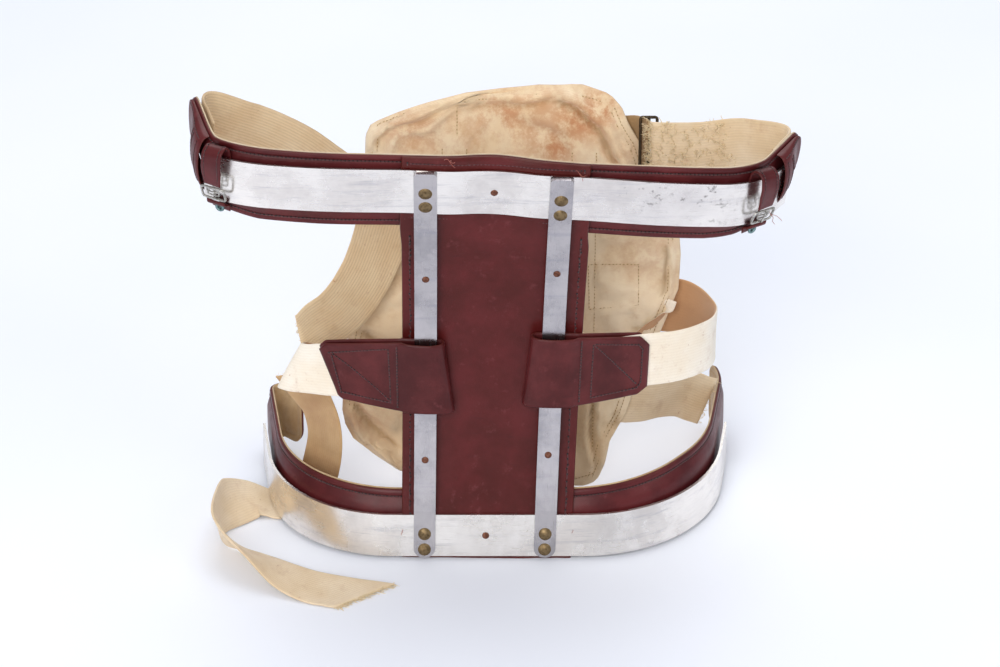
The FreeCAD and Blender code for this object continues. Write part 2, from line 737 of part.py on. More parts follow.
def straps():
    for name, (width, stations) in STRAPS.items():
        if name in SEWN:
            mirror, distances = SEWN[name]
            sewn = [band_point(mirror, distance, -at("strap_inset"), 19) for distance in distances]
            stations = [(tuple(point), tuple(rise)) for point, ahead, out, rise in sewn] + stations
        node(ribbon(f"{name}_web", stations, width, "webbing"), name)


# ---------------------------------------------------------------- apron

# The outline as shares of its width and height, from the foot anticlockwise.
APRON_OUTLINE = [
    (-0.25, 0.015), (-0.1, 0.0), (0.26, 0.0), (0.345, 0.03), (0.38, 0.12), (0.44, 0.22), (0.46, 0.39),
    (0.565, 0.5), (0.575, 0.62), (0.46, 0.84), (0.38, 0.97), (0.26, 1.0), (0.05, 0.98), (-0.1, 0.975),
    (-0.24, 0.94), (-0.335, 0.9), (-0.345, 0.65), (-0.42, 0.4), (-0.415, 0.2), (-0.39, 0.12)]
STAY_X = (-22.0, 74.0)
STAY_FOOT = 35.0


def apron():
    """Two layers of canvas over a stiff core, which holds two steel stays."""
    lean = placed(Vector(0, at("apron_y"), at("apron_floor")), X_AXIS, 90 - at("apron_lean"))
    depth = 0.0
    for layer, thick in (("front_canvas", "canvas"), ("core", "apron_core"), ("back_canvas", "canvas")):
        body = new_body(f"apron_{layer}_body")
        draw = Outline(new_sketch(body, "XY_Plane"))
        points = [(fx * at("apron_width"), fy * at("apron_height")) for fx, fy in APRON_OUTLINE]
        words = [(f"dims.apron_width * ({fx})", f"dims.apron_height * ({fy})") for fx, fy in APRON_OUTLINE]
        draw.polygon(points, words)
        pad(body, draw.sketch, thick)
        depth += at(thick)
        body.Placement = lean.multiply(placed(Vector(0, 0, -depth)))
        if layer == "core":
            stays = [stay(lean, x) for x in STAY_X]
            node(cut("apron_core", body, stays), "apron_core")
        else:
            node(body, f"apron_{layer}")
    bars = document.addObject("Part::Compound", "stay_pair")
    bars.Links = stays
    node(bars, "apron_stays")


def stay(lean, x):
    bar = document.addObject("Part::Box", "stay_bar")
    bar.setExpression("Length", "dims.stay_width")
    bar.setExpression("Width", "dims.stay_length")
    bar.setExpression("Height", "dims.stay_thick")
    middle = at("canvas") + (at("apron_core") + at("stay_thick")) / 2
    bar.Placement = lean.multiply(placed(Vector(x - at("stay_width") / 2, STAY_FOOT, -middle)))
    return bar


# ---------------------------------------------------------------- fittings at the ends of the upper band


def band_point(mirror, distance, outward, up):
    """A place near the upper band: outward from its face and up along its slope from its lower edge."""
    steps = THORACIC_PAD_RIGHT if mirror > 0 else THORACIC_PAD_LEFT
    x, y, heading = along(THORACIC_START, 0, steps, distance, mirror)
    out = Vector(mirror * sin(heading), -cos(heading), 0)
    rise = Vector(0, -math.tan(math.radians(at("head_slope"))), 1) * (up * cos(at("head_slope")))
    ahead = Vector(mirror * cos(heading), sin(heading), 0)
    turn = THORACIC_PLACE.Rotation
    point = THORACIC_PLACE.multVec(Vector(x, y, 0) + out * outward + rise)
    return point, turn.multVec(ahead), turn.multVec(out), turn.multVec(rise.normalize())


# Each fitting's place along its half of the upper band, from the middle, and the pocket's two ends.
FITTING_AT = {"left": 192.0, "right": 186.0}
POCKET = {"left": (202.0, 252.0), "right": (206.0, 246.0)}
RETAINER_PATH = [(-3.9, 26), (-3.9, 36), (-2.4, 41), (2.0, 43.5), (6.5, 41), (8.8, 34), (9.0, 26), (8.0, 17)]
TAB_PATH = [(-3.4, -9.0), (-3.4, -5.5), (1.0, -3.0), (3.6, -1.2), (4.2, 1.2)]


def fittings():
    for side, mirror in (("left", -1), ("right", 1)):
        place = FITTING_AT[side]
        for name, path, width, thick in (("retaining_strap", RETAINER_PATH, "retainer_width", "retainer"),
                                         ("buckle_tab", TAB_PATH, "tab_width", "retainer")):
            stations = []
            for outward, up in path:
                point, ahead, out, rise = band_point(mirror, place, outward, up)
                stations.append((tuple(point), tuple(ahead)))
            node(ribbon(f"{side}_{name}_leather", stations, width, thick), f"{side}_{name}")
        start, end = POCKET[side]
        stations = []
        for i in range(6):
            share = i / 5
            outward = 2.6 - 4.4 * max(share - 0.4, 0) / 0.6
            point, ahead, out, rise = band_point(mirror, start + (end - start) * share, outward, 19)
            stations.append((tuple(point), tuple(rise)))
        node(ribbon(f"{side}_pocket_leather", stations, "pocket_height", "retainer"), f"{side}_end_pocket")
        buckle(side, mirror, place)
    eyelets()


def buckle(side, mirror, place):
    """A wire frame with a small tongue plate, hung by its lower bar in the tab's fold."""
    wide, high, wire = at("buckle_wide"), at("buckle_high"), at("wire")
    point, ahead, out, rise = band_point(mirror, place, BUCKLE_SEAT[0], BUCKLE_SEAT[1])
    lie = (rise + out * BUCKLE_LEAN).normalize()
    face = ahead.cross(lie)
    axes = FreeCAD.Rotation(ahead, lie, face, "ZXY")
    body = new_body(f"{side}_buckle_body")
    draw = Outline(new_sketch(body, "XY_Plane"))
    half = wide / 2
    draw.polygon([(-half, 0), (half, 0), (half, high), (-half, high)])
    draw.polygon([(-half + wire, wire), (half - wire, wire), (half - wire, high - wire),
                  (-half + wire, high - wire)])
    pad(body, draw.sketch, "wire", midplane=True)
    body.Placement = FreeCAD.Placement(point, axes)
    node(body, f"{side}_buckle_frame")
    body = new_body(f"{side}_tongue_body")
    draw = Outline(new_sketch(body, "XY_Plane"))
    draw.polygon([(-5.2, 4.2), (5.2, 4.2), (5.2, high - wire), (-5.2, high - wire)])
    draw.polygon([(-3.7, 5.7), (3.7, 5.7), (3.7, high - wire - 1.5), (-3.7, high - wire - 1.5)])
    pad(body, draw.sketch, "tongue", midplane=True)
    body.Placement = FreeCAD.Placement(point, axes)
    node(body, f"{side}_buckle_tongue")


BUCKLE_SEAT = (4.9, 2.2)
BUCKLE_LEAN = 0.28


def eyelets():
    """A hollow rivet holds each buckle tab to the pad below the upper band."""
    solids = []
    for side, mirror in (("left", -1), ("right", 1)):
        point, ahead, out, rise = band_point(mirror, FITTING_AT[side], -2.2, -7.0)
        radius = at("eyelet") / 2
        ring = Part.makeCylinder(radius, 0.8).cut(Part.makeCylinder(radius * 0.45, 0.8))
        barrel = Part.makeCylinder(radius * 0.6, 1.9, Vector(0, 0, -1.9)).cut(
            Part.makeCylinder(radius * 0.45, 1.9, Vector(0, 0, -1.9)))
        solid = ring.fuse(barrel).removeSplitter()
        where = FreeCAD.Placement(point + out * 1.6, FreeCAD.Rotation(Z_AXIS, out))
        solids.append(solid.transformGeometry(where.toMatrix()))
    group = document.addObject("Part::Feature", "eyelet_pair")
    group.Shape = Part.makeCompound(solids)
    node(group, "tab_eyelets")


def slide_buckle():
    """The flat slide that joins the upper right strap to the apron's webbing tab."""
    body = new_body("slide_body")
    draw = Outline(new_sketch(body, "XY_Plane"))
    high, wide, wire = at("slide_high") / 2, at("slide_wide") / 2, at("wire")
    draw.polygon([(-wide, -high), (wide, -high), (wide, high), (-wide, high)])
    for sign in (-1, 1):
        a, b = sorted((sign * wire / 2, sign * (wide - wire)))
        draw.polygon([(a, -high + 2 * wire), (b, -high + 2 * wire), (b, high - 2 * wire),
                      (a, high - 2 * wire)])
    pad(body, draw.sketch, "wire", midplane=True)
    body.Placement = FreeCAD.Placement(Vector(*SLIDE_AT), FreeCAD.Rotation(X_AXIS, 90 - 10))
    node(body, "slide_buckle")


SLIDE_AT = (121.0, 138.0, 274.0)


# ---------------------------------------------------------------- the whole brace


def main():
    grip = at("bar_thick") + at("band_thick") + at("band_slip")
    holes = {name: [] for name in ("left", "right", "pelvic", "thoracic", "panel", "panel_head")}
    for i, (side, end, distance) in enumerate(brass_places()):
        rod = shank(f"brass_shank_{i}", "rivet_shank", grip, face_frame(side, distance, grip))
        holes[side].append(rod)
        holes[end].append(rod)
    reach = at("copper_reach")
    copper = []
    for i, (side, distance) in enumerate(copper_places()):
        rod = shank(f"copper_shank_{i}", "copper_rivet", reach, face_frame(side, distance, reach))
        holes[side].append(rod)
        holes["panel"].append(rod)
        copper.append(rod)
    for band, depth in (("pelvic", 4.3), ("thoracic", 4.3)):
        place = band_frame(band).multiply(placed(Vector(0, 0, -depth)))
        rod = shank(f"{band}_copper", "copper_rivet", depth, place)
        holes[band].append(rod)
        holes["panel" if band == "pelvic" else "panel_head"].append(rod)
        copper.append(rod)
    group = document.addObject("Part::Compound", "copper_group")
    group.Links = copper
    node(group, "panel_rivets")
    rivets()
    bands(holes)
    uprights(holes)
    panel(holes["panel"], holes["panel_head"])
    pads()
    loops()
    straps()
    apron()
    fittings()
    slide_buckle()
    document.recompute()
    write()


def write():
    for item in document.Objects:
        if any(word in item.State for word in ("Invalid", "Error")):
            raise RuntimeError(f"{item.Name} failed: {item.State}")
    os.makedirs("parts", exist_ok=True)
    for item in NODES:
        if item.Shape.isNull() or not item.Shape.isValid() or not item.Shape.Solids:
            raise RuntimeError(f"{item.Label} has no valid solid")
        item.Shape.exportStep(f"parts/{item.Label}.step")
        print(f"{item.Label:28s} {item.Shape.Volume / 1000:9.2f} cm3  {len(item.Shape.Solids)} solids")


main()
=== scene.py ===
"""The looks of the chair-back lumbar brace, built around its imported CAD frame.

Lengths are millimetres and are scaled to metres when a mesh is made. +Z is up, +Y towards the wearer.
"""

import math
import random

import bmesh
import bpy
from mathutils import Euler, Matrix, Vector, noise
from mathutils.kdtree import KDTree


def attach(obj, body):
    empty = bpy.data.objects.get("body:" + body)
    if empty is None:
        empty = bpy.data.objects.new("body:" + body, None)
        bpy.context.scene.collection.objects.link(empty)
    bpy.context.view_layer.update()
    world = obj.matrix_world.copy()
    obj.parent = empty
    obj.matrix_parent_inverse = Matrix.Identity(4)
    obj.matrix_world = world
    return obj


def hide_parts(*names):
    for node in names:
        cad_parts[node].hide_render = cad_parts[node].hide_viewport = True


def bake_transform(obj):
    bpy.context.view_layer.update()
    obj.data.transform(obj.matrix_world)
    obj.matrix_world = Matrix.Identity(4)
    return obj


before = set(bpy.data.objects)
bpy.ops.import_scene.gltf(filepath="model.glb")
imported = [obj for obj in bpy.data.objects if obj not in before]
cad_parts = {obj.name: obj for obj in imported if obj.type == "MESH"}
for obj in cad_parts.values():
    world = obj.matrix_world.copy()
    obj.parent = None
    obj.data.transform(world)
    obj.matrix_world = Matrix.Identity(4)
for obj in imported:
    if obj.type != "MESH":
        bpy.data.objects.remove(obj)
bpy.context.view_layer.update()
MM = 0.001
FLOOR_GAP = 0.05  # no point of a piece is lower than this above the floor


def cos(degrees):
    return math.cos(math.radians(degrees))


def sin(degrees):
    return math.sin(math.radians(degrees))


def tan(degrees):
    return math.tan(math.radians(degrees))


def ease(t):
    t = min(max(t, 0.0), 1.0)
    return t * t * (3 - 2 * t)


def lerp(a, b, t):
    return a + (b - a) * t


def table(value, rows):
    """Linear interpolation in rows of (key, result)."""
    for (k0, v0), (k1, v1) in zip(rows, rows[1:]):
        if value <= k1:
            return lerp(v0, v1, min(max((value - k0) / (k1 - k0), 0), 1))
    return rows[-1][1]


# ---------------------------------------------------------------- materials


def rgb(code):
    """A display colour such as 5C2B2D as linear values."""
    parts = [int(code[i:i + 2], 16) / 255 for i in (0, 2, 4)]
    linear = [p / 12.92 if p <= 0.04045 else ((p + 0.055) / 1.055) ** 2.4 for p in parts]
    return (*linear, 1.0)


class Paint:
    """A material with a short way to add nodes."""

    def __init__(self, name, **values):
        self.material = bpy.data.materials.new(name)
        self.material.use_nodes = True
        self.tree = self.material.node_tree
        self.shader = self.tree.nodes["Principled BSDF"]
        for key, value in values.items():
            self.shader.inputs[key.replace("_", " ")].default_value = value

    def add(self, kind, inputs=(), out=0, **settings):
        made = self.tree.nodes.new("ShaderNode" + kind)
        for key, value in settings.items():
            setattr(made, key, value)
        for key, value in dict(inputs).items():
            if isinstance(value, bpy.types.NodeSocket):
                self.tree.links.new(value, made.inputs[key])
            else:
                made.inputs[key].default_value = value
        return made.outputs[out]

    def place(self, scale=(1, 1, 1)):
        return self.add("Mapping", {"Vector": self.add("TexCoord", out="Object"), "Scale": scale})

    def noise(self, scale, detail=3.0, rough=0.5, vector=None):
        return self.add("TexNoise", {"Vector": vector or self.place(), "Scale": scale, "Detail": detail,
                                     "Roughness": rough})

    def math(self, operation, a, b=0.0, c=None):
        inputs = {0: a, 1: b}
        if c is not None:
            inputs[2] = c
        return self.add("Math", inputs, operation=operation)

    def span(self, value, low, high, to_low=0.0, to_high=1.0):
        return self.add("MapRange", {"Value": value, "From Min": low, "From Max": high, "To Min": to_low,
                                     "To Max": to_high}, interpolation_type="SMOOTHSTEP")

    def mix(self, share, a, b):
        return self.add("Mix", {0: share, 6: a, 7: b}, out=2, data_type="RGBA")

    def share(self, name):
        return self.add("Attribute", out="Fac", attribute_name=name)

    def stripes(self, axis, pitch):
        """A 0 to 1 wave across the flattened strap: axis 0 runs along it and 1 across."""
        spot = self.add("TexCoord", out="UV")
        value = self.add("SeparateXYZ", {0: spot}, out=axis)
        turned = self.math("MULTIPLY", value, 2 * math.pi / (pitch * MM))
        return self.math("MULTIPLY_ADD", self.math("SINE", turned), 0.5, 0.5)

    def spot(self, centre, radius):
        """1 at a place on the object, falling to 0 at the radius, both in millimetres."""
        away = self.add("VectorMath", {0: self.place(), 1: [c * MM for c in centre]}, out="Value",
                        operation="DISTANCE")
        return self.span(away, radius * MM, 0.0)

    def bump(self, height, distance, strength=1.0, normal=None):
        inputs = {"Height": height, "Distance": distance * MM, "Strength": strength}
        if normal:
            inputs["Normal"] = normal
        return self.add("Bump", inputs)

    def done(self, colour=None, rough=None, normal=None):
        for key, value in (("Base Color", colour), ("Roughness", rough), ("Normal", normal)):
            if value is not None:
                self.tree.links.new(value, self.shader.inputs[key])
        return self.material


def aluminium(name, grain, bright, dull):
    """Worn aluminium; grain gives how the fine scratches are drawn out."""
    paint = Paint(name, Metallic=1.0)
    scratch = paint.noise(1.0, 6, 0.7, paint.place(grain))
    blotch = paint.noise(28, 5, 0.65)
    smear = paint.noise(9, 3, 0.6)
    soiled = paint.math("MAXIMUM", paint.spot((150, 26, 298), 44), paint.spot((112, 22, 302), 30))
    smudge = paint.math("MULTIPLY", paint.span(paint.noise(130, 6, 0.75), 0.56, 0.64), soiled)
    tone = paint.mix(paint.span(blotch, 0.35, 0.75), bright, dull)
    tone = paint.mix(paint.span(smear, 0.5, 0.8, 0, 0.45), tone, rgb("B9B3B4"))
    tone = paint.mix(paint.span(scratch, 0.58, 0.72, 0, 0.45), tone, rgb("85858C"))
    drag = paint.noise(1.0, 5, 0.7, paint.place((18, 30, 190)))
    tone = paint.mix(paint.span(drag, 0.5, 0.72, 0, 0.32), tone, rgb("8E8F9E"))
    tone = paint.mix(smudge, tone, rgb("3E3634"))
    rough = paint.math("ADD", paint.span(blotch, 0.3, 0.8, 0.2, 0.36),
                       paint.span(scratch, 0.5, 0.8, 0, 0.12))
    return paint.done(tone, rough, paint.bump(scratch, 0.015, 0.3, paint.bump(smear, 0.25, 0.1)))


def leather(name, dark, light, shine):
    """Smooth brown leather with a fine grain, lighter rubbed spots that are partly wear and partly painted
    highlights, and raw cut edges.
    """
    paint = Paint(name, Coat_Weight=0.09, Coat_Roughness=0.2, Specular_IOR_Level=0.2)
    grain = paint.add("TexVoronoi", {"Vector": paint.place(), "Scale": 900.0, "Randomness": 1.0})
    pores = paint.noise(2600, 2, 0.6)
    cloud = paint.noise(30, 5, 0.62)
    rub_and_highlight = paint.noise(95, 6, 0.72)
    streak = paint.noise(1.0, 5, 0.6, paint.place((60, 60, 420)))
    tone = paint.mix(paint.span(cloud, 0.3, 0.72), dark, light)
    # lighter patches: partly rubbed wear, partly painted highlights
    tone = paint.mix(paint.span(rub_and_highlight, 0.56, 0.76, 0, 0.5), tone, rgb("74393C"))
    tone = paint.mix(paint.span(streak, 0.62, 0.75, 0, 0.25), tone, rgb("2E1416"))
    tone = paint.mix(paint.span(paint.share("rim"), 0.45, 1.0, 0, 0.75), tone, rgb("5E2C22"))
    rough = paint.math("ADD", paint.span(rub_and_highlight, 0.3, 0.75, shine, shine + 0.16),
                       paint.span(grain, 0, 1, 0, 0.05))
    height = paint.math("MULTIPLY_ADD", pores, 0.35, grain)
    return paint.done(tone, rough, paint.bump(height, 0.07, 0.55, paint.bump(rub_and_highlight, 0.35, 0.5)))


def suede(name, dark, light):
    """Napped lining leather, soiled and fuzzy."""
    paint = Paint(name, Sheen_Weight=0.35, Sheen_Roughness=0.5, Roughness=0.92)
    cloud, nap = paint.noise(22, 6, 0.65), paint.noise(1500, 4, 0.8)
    patch = paint.noise(70, 5, 0.7)
    tone = paint.mix(paint.span(cloud, 0.32, 0.7), dark, light)
    tone = paint.mix(paint.span(patch, 0.56, 0.75, 0, 0.5), tone, rgb("8A6440"))
    tone = paint.mix(paint.span(nap, 0.55, 0.7, 0, 0.3), tone, light)
    return paint.done(tone, None, paint.bump(nap, 0.35, 0.8, paint.bump(patch, 0.6, 0.4)))


def webbing(name, dark, light, ribs, depth=0.5, inside=None):
    """Woven cotton webbing: ribs run along it, with the weft's fine steps across them; a given inside colour
    paints shade on its back face.
    """
    paint = Paint(name, Sheen_Weight=0.25, Sheen_Roughness=0.6, Roughness=0.9)
    rib, weft = paint.stripes(1, ribs), paint.stripes(0, 0.9)
    fuzz, cloud, speck = paint.noise(2200, 3, 0.8), paint.noise(26, 5, 0.6), paint.noise(240, 4, 0.7)
    wear = paint.noise(60, 5, 0.7)
    tone = paint.mix(paint.span(cloud, 0.3, 0.7), light, dark)
    # painted shade: the back face takes the darker inside colour
    if inside:
        tone = paint.mix(paint.span(paint.share("back"), 0.4, 0.9), tone, inside)
    tone = paint.mix(paint.span(rib, 0.0, 0.55, 0.26 * depth, 0.0), tone, rgb("8E6C48"))
    tone = paint.mix(paint.span(weft, 0.0, 0.5, 0.14, 0.0), tone, rgb("8F7450"))
    tone = paint.mix(paint.span(wear, 0.52, 0.74, 0, 0.34), tone, rgb("B4855A"))
    tone = paint.mix(paint.span(speck, 0.64, 0.74, 0, 0.55), tone, rgb("A4623A"))
    tone = paint.mix(paint.span(paint.share("rim"), 0.5, 1.0, 0, 0.35), tone, rgb("B89468"))
    height = paint.math("MULTIPLY_ADD", rib, depth, paint.math("MULTIPLY_ADD", weft, 0.28, fuzz))
    return paint.done(tone, None, paint.bump(height, 0.3, 0.8))


def canvas(name):
    """Closely woven cream cotton, darkened in its fold valleys partly by dirt and partly as painted shade,
    and rust-marked near the top.
    """
    paint = Paint(name, Sheen_Weight=0.2, Sheen_Roughness=0.6, Roughness=0.88)
    warp, weft = (paint.add("TexWave", {"Vector": paint.place(), "Scale": 420.0, "Distortion": 1.2,
                                        "Detail": 1.0}, out="Fac", bands_direction=axis) for axis in "XZ")
    weave = paint.math("MULTIPLY", warp, weft)
    cloud, patch, fuzz = paint.noise(13, 6, 0.6), paint.noise(45, 6, 0.7), paint.noise(900, 3, 0.7)
    tone = paint.mix(paint.span(cloud, 0.3, 0.7), rgb("F6E4C6"), rgb("EDD2AC"))
    tone = paint.mix(paint.span(patch, 0.46, 0.74, 0, 0.55), tone, rgb("D0A87A"))
    tone = paint.mix(paint.span(weave, 0.0, 0.35, 0.16, 0), tone, rgb("9B7B50"))
    rust = paint.span(paint.noise(75, 6, 0.75), 0.38, 0.62)
    for centre, radius, share in (((70, 145, 292), 26, 0.75), ((54, 142, 270), 20, 0.7),
                                  ((12, 146, 298), 30, 0.55), ((88, 146, 302), 26, 0.75),
                                  ((-60, 142, 286), 34, 0.45), ((100, 142, 262), 34, 0.35),
                                  ((126, 126, 190), 46, 0.3), ((-96, 104, 60), 46, 0.35),
                                  ((40, 146, 290), 60, 0.5), ((-30, 142, 276), 50, 0.35)):
        mark = paint.math("MULTIPLY", paint.math("MULTIPLY", paint.spot(centre, radius), rust), share)
        tone = paint.mix(mark, tone, rgb("B86C34"))
    # darker in the fold valleys: partly dirt, partly painted shade
    tone = paint.mix(paint.math("MULTIPLY", paint.share("crease"), 0.62), tone, rgb("9C7648"))
    tone = paint.mix(paint.span(paint.share("rim"), 0.3, 1.0, 0, 0.4), tone, rgb("BE9260"))
    height = paint.math("MULTIPLY_ADD", weave, 0.6, paint.math("MULTIPLY", fuzz, 0.5))
    return paint.done(tone, None, paint.bump(height, 0.25, 0.7, paint.bump(patch, 1.2, 0.45)))


def metal(name, base, spots, rough, blend=0.7, scale=420):
    """Small plated or tarnished fittings."""
    paint = Paint(name, Metallic=1.0)
    patch, fine = paint.noise(scale, 5, 0.7), paint.noise(scale * 5, 3, 0.6)
    tone = paint.mix(paint.span(patch, 0.4, 0.68, 0, blend), base, spots)
    dull = paint.span(patch, 0.35, 0.7, rough, rough + 0.28)
    return paint.done(tone, dull, paint.bump(fine, 0.06, 0.6, paint.bump(patch, 0.2, 0.5)))


def thread(name, dark, light, hole_shade="120506"):
    """Twisted thread; the third colour is painted shade for the needle holes beside it."""
    paint = Paint(name, Roughness=0.75, Sheen_Weight=0.2)
    twist = paint.noise(1900, 3, 0.6)
    tone = paint.mix(paint.span(twist, 0.35, 0.65), dark, light)
    return paint.done(paint.mix(paint.share("rim"), tone, rgb(hole_shade)), None, paint.bump(twist, 0.1, 0.8))


ALUMINIUM_BAND = aluminium("aluminium_band", (60, 60, 1400), rgb("F5F0EA"), rgb("DCD6D1"))
# The bars get darker tones than the bands: painted shade for the dim surroundings their metal reflects.
ALUMINIUM_BAR_DIMMED = aluminium("aluminium_bar_dimmed", (1400, 90, 45), rgb("BFBABB"), rgb("9C999D"))
LEATHER = leather("brown_leather", rgb("471417"), rgb("5E2224"), 0.3)
PANEL_LEATHER = leather("panel_leather", rgb("49130F"), rgb("5A1B1C"), 0.27)
LOOP_LEATHER = leather("loop_leather", rgb("431314"), rgb("5E2425"), 0.3)
SUEDE = suede("suede_lining", rgb("A8875F"), rgb("CDB48E"))
PALE_SUEDE = suede("pale_suede", rgb("CDB796"), rgb("E8DAC2"))
# its back face gets a darker tan as painted shade
WEB_PALE = webbing("webbing_pale", rgb("F4E6D0"), rgb("FCF4E6"), 2.4, 0.16, rgb("C49468"))
WEB_RIBBED = webbing("webbing_ribbed", rgb("DDBE94"), rgb("EBD3AE"), 2.15, 0.8)
# a darker copy of the webbing: painted shade for the run of the left side strap that hangs down to the loose
# tail
WEB_SHADED = webbing("webbing_shaded", rgb("B48A5C"), rgb("CDA878"), 2.1, 0.4)
WEB_DARK = webbing("webbing_dark", rgb("8A6A44"), rgb("A68458"), 2.1, 0.4)
WEB_TAN = webbing("webbing_tan", rgb("E2C8A2"), rgb("F0DCBE"), 2.1, 0.35)
CANVAS = canvas("apron_canvas")
BRASS = metal("old_brass", rgb("857153"), rgb("4E4030"), 0.42)
COPPER = metal("copper", rgb("835848"), rgb("4A3028"), 0.45)
NICKEL = metal("nickel", rgb("C4C2BC"), rgb("5E5A54"), 0.22)
RING_METAL = metal("eyelet_metal", rgb("7F9A9B"), rgb("46504E"), 0.35)
BRONZED = metal("bronzed_steel", rgb("54483A"), rgb("2A2420"), 0.4)
STEEL = metal("spring_steel", rgb("8C8F94"), rgb("50504E"), 0.35)
DARK_THREAD = thread("leather_thread", rgb("3A1517"), rgb("643033"))
RED_THREAD = thread("red_thread", rgb("8C4038"), rgb("B0604E"))
CREAM_THREAD = thread("canvas_thread", rgb("CDAE80"), rgb("EAD6B0"), "A98858")
WEB_THREAD = thread("webbing_thread", rgb("D6BB8A"), rgb("F2E2C2"))


# ---------------------------------------------------------------- mesh building


class Mesh:
    """Gathers parts in millimetres and turns them into one piece."""

    def __init__(self):
        self.points, self.faces, self.rim, self.back, self.flat = [], [], [], [], []

    def add(self, points, faces, rim=None, flat=None, back=None):
        first = len(self.points)
        self.points += points
        self.faces += [tuple(first + i for i in face) for face in faces]
        self.rim += rim or [0.0] * len(points)
        self.back += back or [0.0] * len(points)
        self.flat += flat or [(0.0, 0.0)] * len(points)
        return self

    def build(self, name, material, body="frame", slot=None, replaces=()):
        mesh = bpy.data.meshes.new(name)
        places = [(p.x * MM, p.y * MM, max(p.z, FLOOR_GAP) * MM) for p in self.points]
        mesh.from_pydata(places, [], self.faces)
        work = bmesh.new()
        work.from_mesh(mesh)
        bmesh.ops.recalc_face_normals(work, faces=work.faces)
        work.to_mesh(mesh)
        work.free()
        corners = [self.flat[loop.vertex_index] for loop in mesh.loops]
        mesh.uv_layers.new(name="UVMap")
        mesh.uv_layers["UVMap"].data.foreach_set("uv", [value * MM for pair in corners for value in pair])
        for key, values in (("rim", self.rim), ("back", self.back)):
            mesh.attributes.new(key, "FLOAT", "POINT")
            mesh.attributes[key].data.foreach_set("value", values)
        mesh.polygons.foreach_set("use_smooth", [True] * len(mesh.polygons))
        mesh.materials.append(material)
        piece = bpy.data.objects.new(name, mesh)
        bpy.context.scene.collection.objects.link(piece)
        if body:
            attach(piece, body)
        if replaces:
            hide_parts(*replaces)
        return piece


# Stitches gathered while the pieces are made: dark ones by body, cream ones on the canvas.
THREADS = {"frame": Mesh(), "left_loop": Mesh(), "right_loop": Mesh()}
CREAM = Mesh()


def grids(rows, columns, place):
    """Two grids of points for a shell: place gives the outer and the inner point at a row and column."""
    pairs = [[place(row, column) for column in columns] for row in rows]
    return [[pair[0] for pair in line] for line in pairs], [[pair[1] for pair in line] for line in pairs]


def shell(outer, inner, bulge=0.4):
    """A closed sheet between two grids of points, its rim rounded."""
    rows, cols = len(outer), len(outer[0])
    count = rows * cols
    points = [p.copy() for grid in (outer, inner) for row in grid for p in row]
    flat = []
    run = [0.0]
    for r in range(1, rows):
        middle = cols // 2
        run.append(run[-1] + (outer[r][middle] - outer[r - 1][middle]).length)
    for grid in (outer, inner):
        for r, row in enumerate(grid):
            across = 0.0
            for c, p in enumerate(row):
                across += (p - row[c - 1]).length if c else 0.0
                flat.append((run[r], across))
    ring = [(0, c) for c in range(cols)] + [(r, cols - 1) for r in range(1, rows)]
    ring += [(rows - 1, c) for c in range(cols - 2, -1, -1)] + [(r, 0) for r in range(rows - 2, 0, -1)]
    rim = [0.0] * (2 * count)
    for r, c in ring:
        a, b = outer[r][c], inner[r][c]
        rr, cc = min(max(r, 1), rows - 2), min(max(c, 1), cols - 2)
        away = (a + b) / 2 - (outer[rr][cc] + inner[rr][cc]) / 2
        away = away.normalized() if away.length > 1e-6 else away
        points.append((a + b) / 2 + away * (a - b).length * bulge)
        flat.append(flat[r * cols + c])
        rim.append(1.0)
        rim[r * cols + c] = rim[count + r * cols + c] = 0.55
    faces = []
    for r in range(rows - 1):
        for c in range(cols - 1):
            i = r * cols + c
            faces.append((i, i + 1, i + cols + 1, i + cols))
            faces.append((count + i, count + i + cols, count + i + cols + 1, count + i + 1))
    for k, (r, c) in enumerate(ring):
        n = (k + 1) % len(ring)
        a, b = r * cols + c, ring[n][0] * cols + ring[n][1]
        m, q = 2 * count + k, 2 * count + n
        faces += [(a, m, q, b), (count + a, count + b, q, m)]
    back = [0.0] * count + [1.0] * count + [0.5] * len(ring)
    return Mesh().add(points, faces, rim, flat, back)


def tube(points, radius, closed=False, sides=8, into=None, taper=None):
    """A round bar along points; taper gives each point's share of the radius."""
    total = len(points)
    rings, faces = [], []
    side = None
    for i, p in enumerate(points):
        ahead = points[(i + 1) % total] if closed or i < total - 1 else p
        behind = points[i - 1] if closed or i else p
        along_it = (ahead - behind).normalized()
        if side is None:
            side = along_it.orthogonal().normalized()
        side = (side - along_it * side.dot(along_it)).normalized()
        other = along_it.cross(side)
        size = radius * (taper[i] if taper else 1.0)
        rings += [p + (side * math.cos(a) + other * math.sin(a)) * size
                  for a in (2 * math.pi * k / sides for k in range(sides))]
    for i in range(total if closed else total - 1):
        for k in range(sides):
            n, j = (k + 1) % sides, (i + 1) % total
            faces.append((i * sides + k, i * sides + n, j * sides + n, j * sides + k))
    if not closed:
        faces += [tuple(range(sides))[::-1], tuple((total - 1) * sides + k for k in range(sides))]
    return (into or Mesh()).add(rings, faces)


def lathe(profile, origin, axis, into=None, sides=28):
    """A turned part: profile is a list of (radius, height) from the bottom of its axis to the top."""
    turn = axis.to_track_quat("Z", "Y")
    points, faces = [], []
    for radius, height in profile:
        points += [origin + turn @ Vector((radius * math.cos(a), radius * math.sin(a), height))
                   for a in (2 * math.pi * k / sides for k in range(sides))]
    for i in range(len(profile) - 1):
        for k in range(sides):
            n = (k + 1) % sides
            faces.append((i * sides + k, i * sides + n, (i + 1) * sides + n, (i + 1) * sides + k))
    faces += [tuple(range(sides))[::-1], tuple((len(profile) - 1) * sides + k for k in range(sides))]
    return (into or Mesh()).add(points, faces)


def walk(corners, place, step=3):
    """What place gives about every step along the straight lines between corners."""
    result = []
    for (x0, y0), (x1, y1) in zip(corners, corners[1:]):
        parts = max(2, int(math.dist((x0, y0), (x1, y1)) / step))
        result += [place(lerp(x0, x1, k / parts), lerp(y0, y1, k / parts)) for k in range(parts)]
    return result + [place(*corners[-1])]


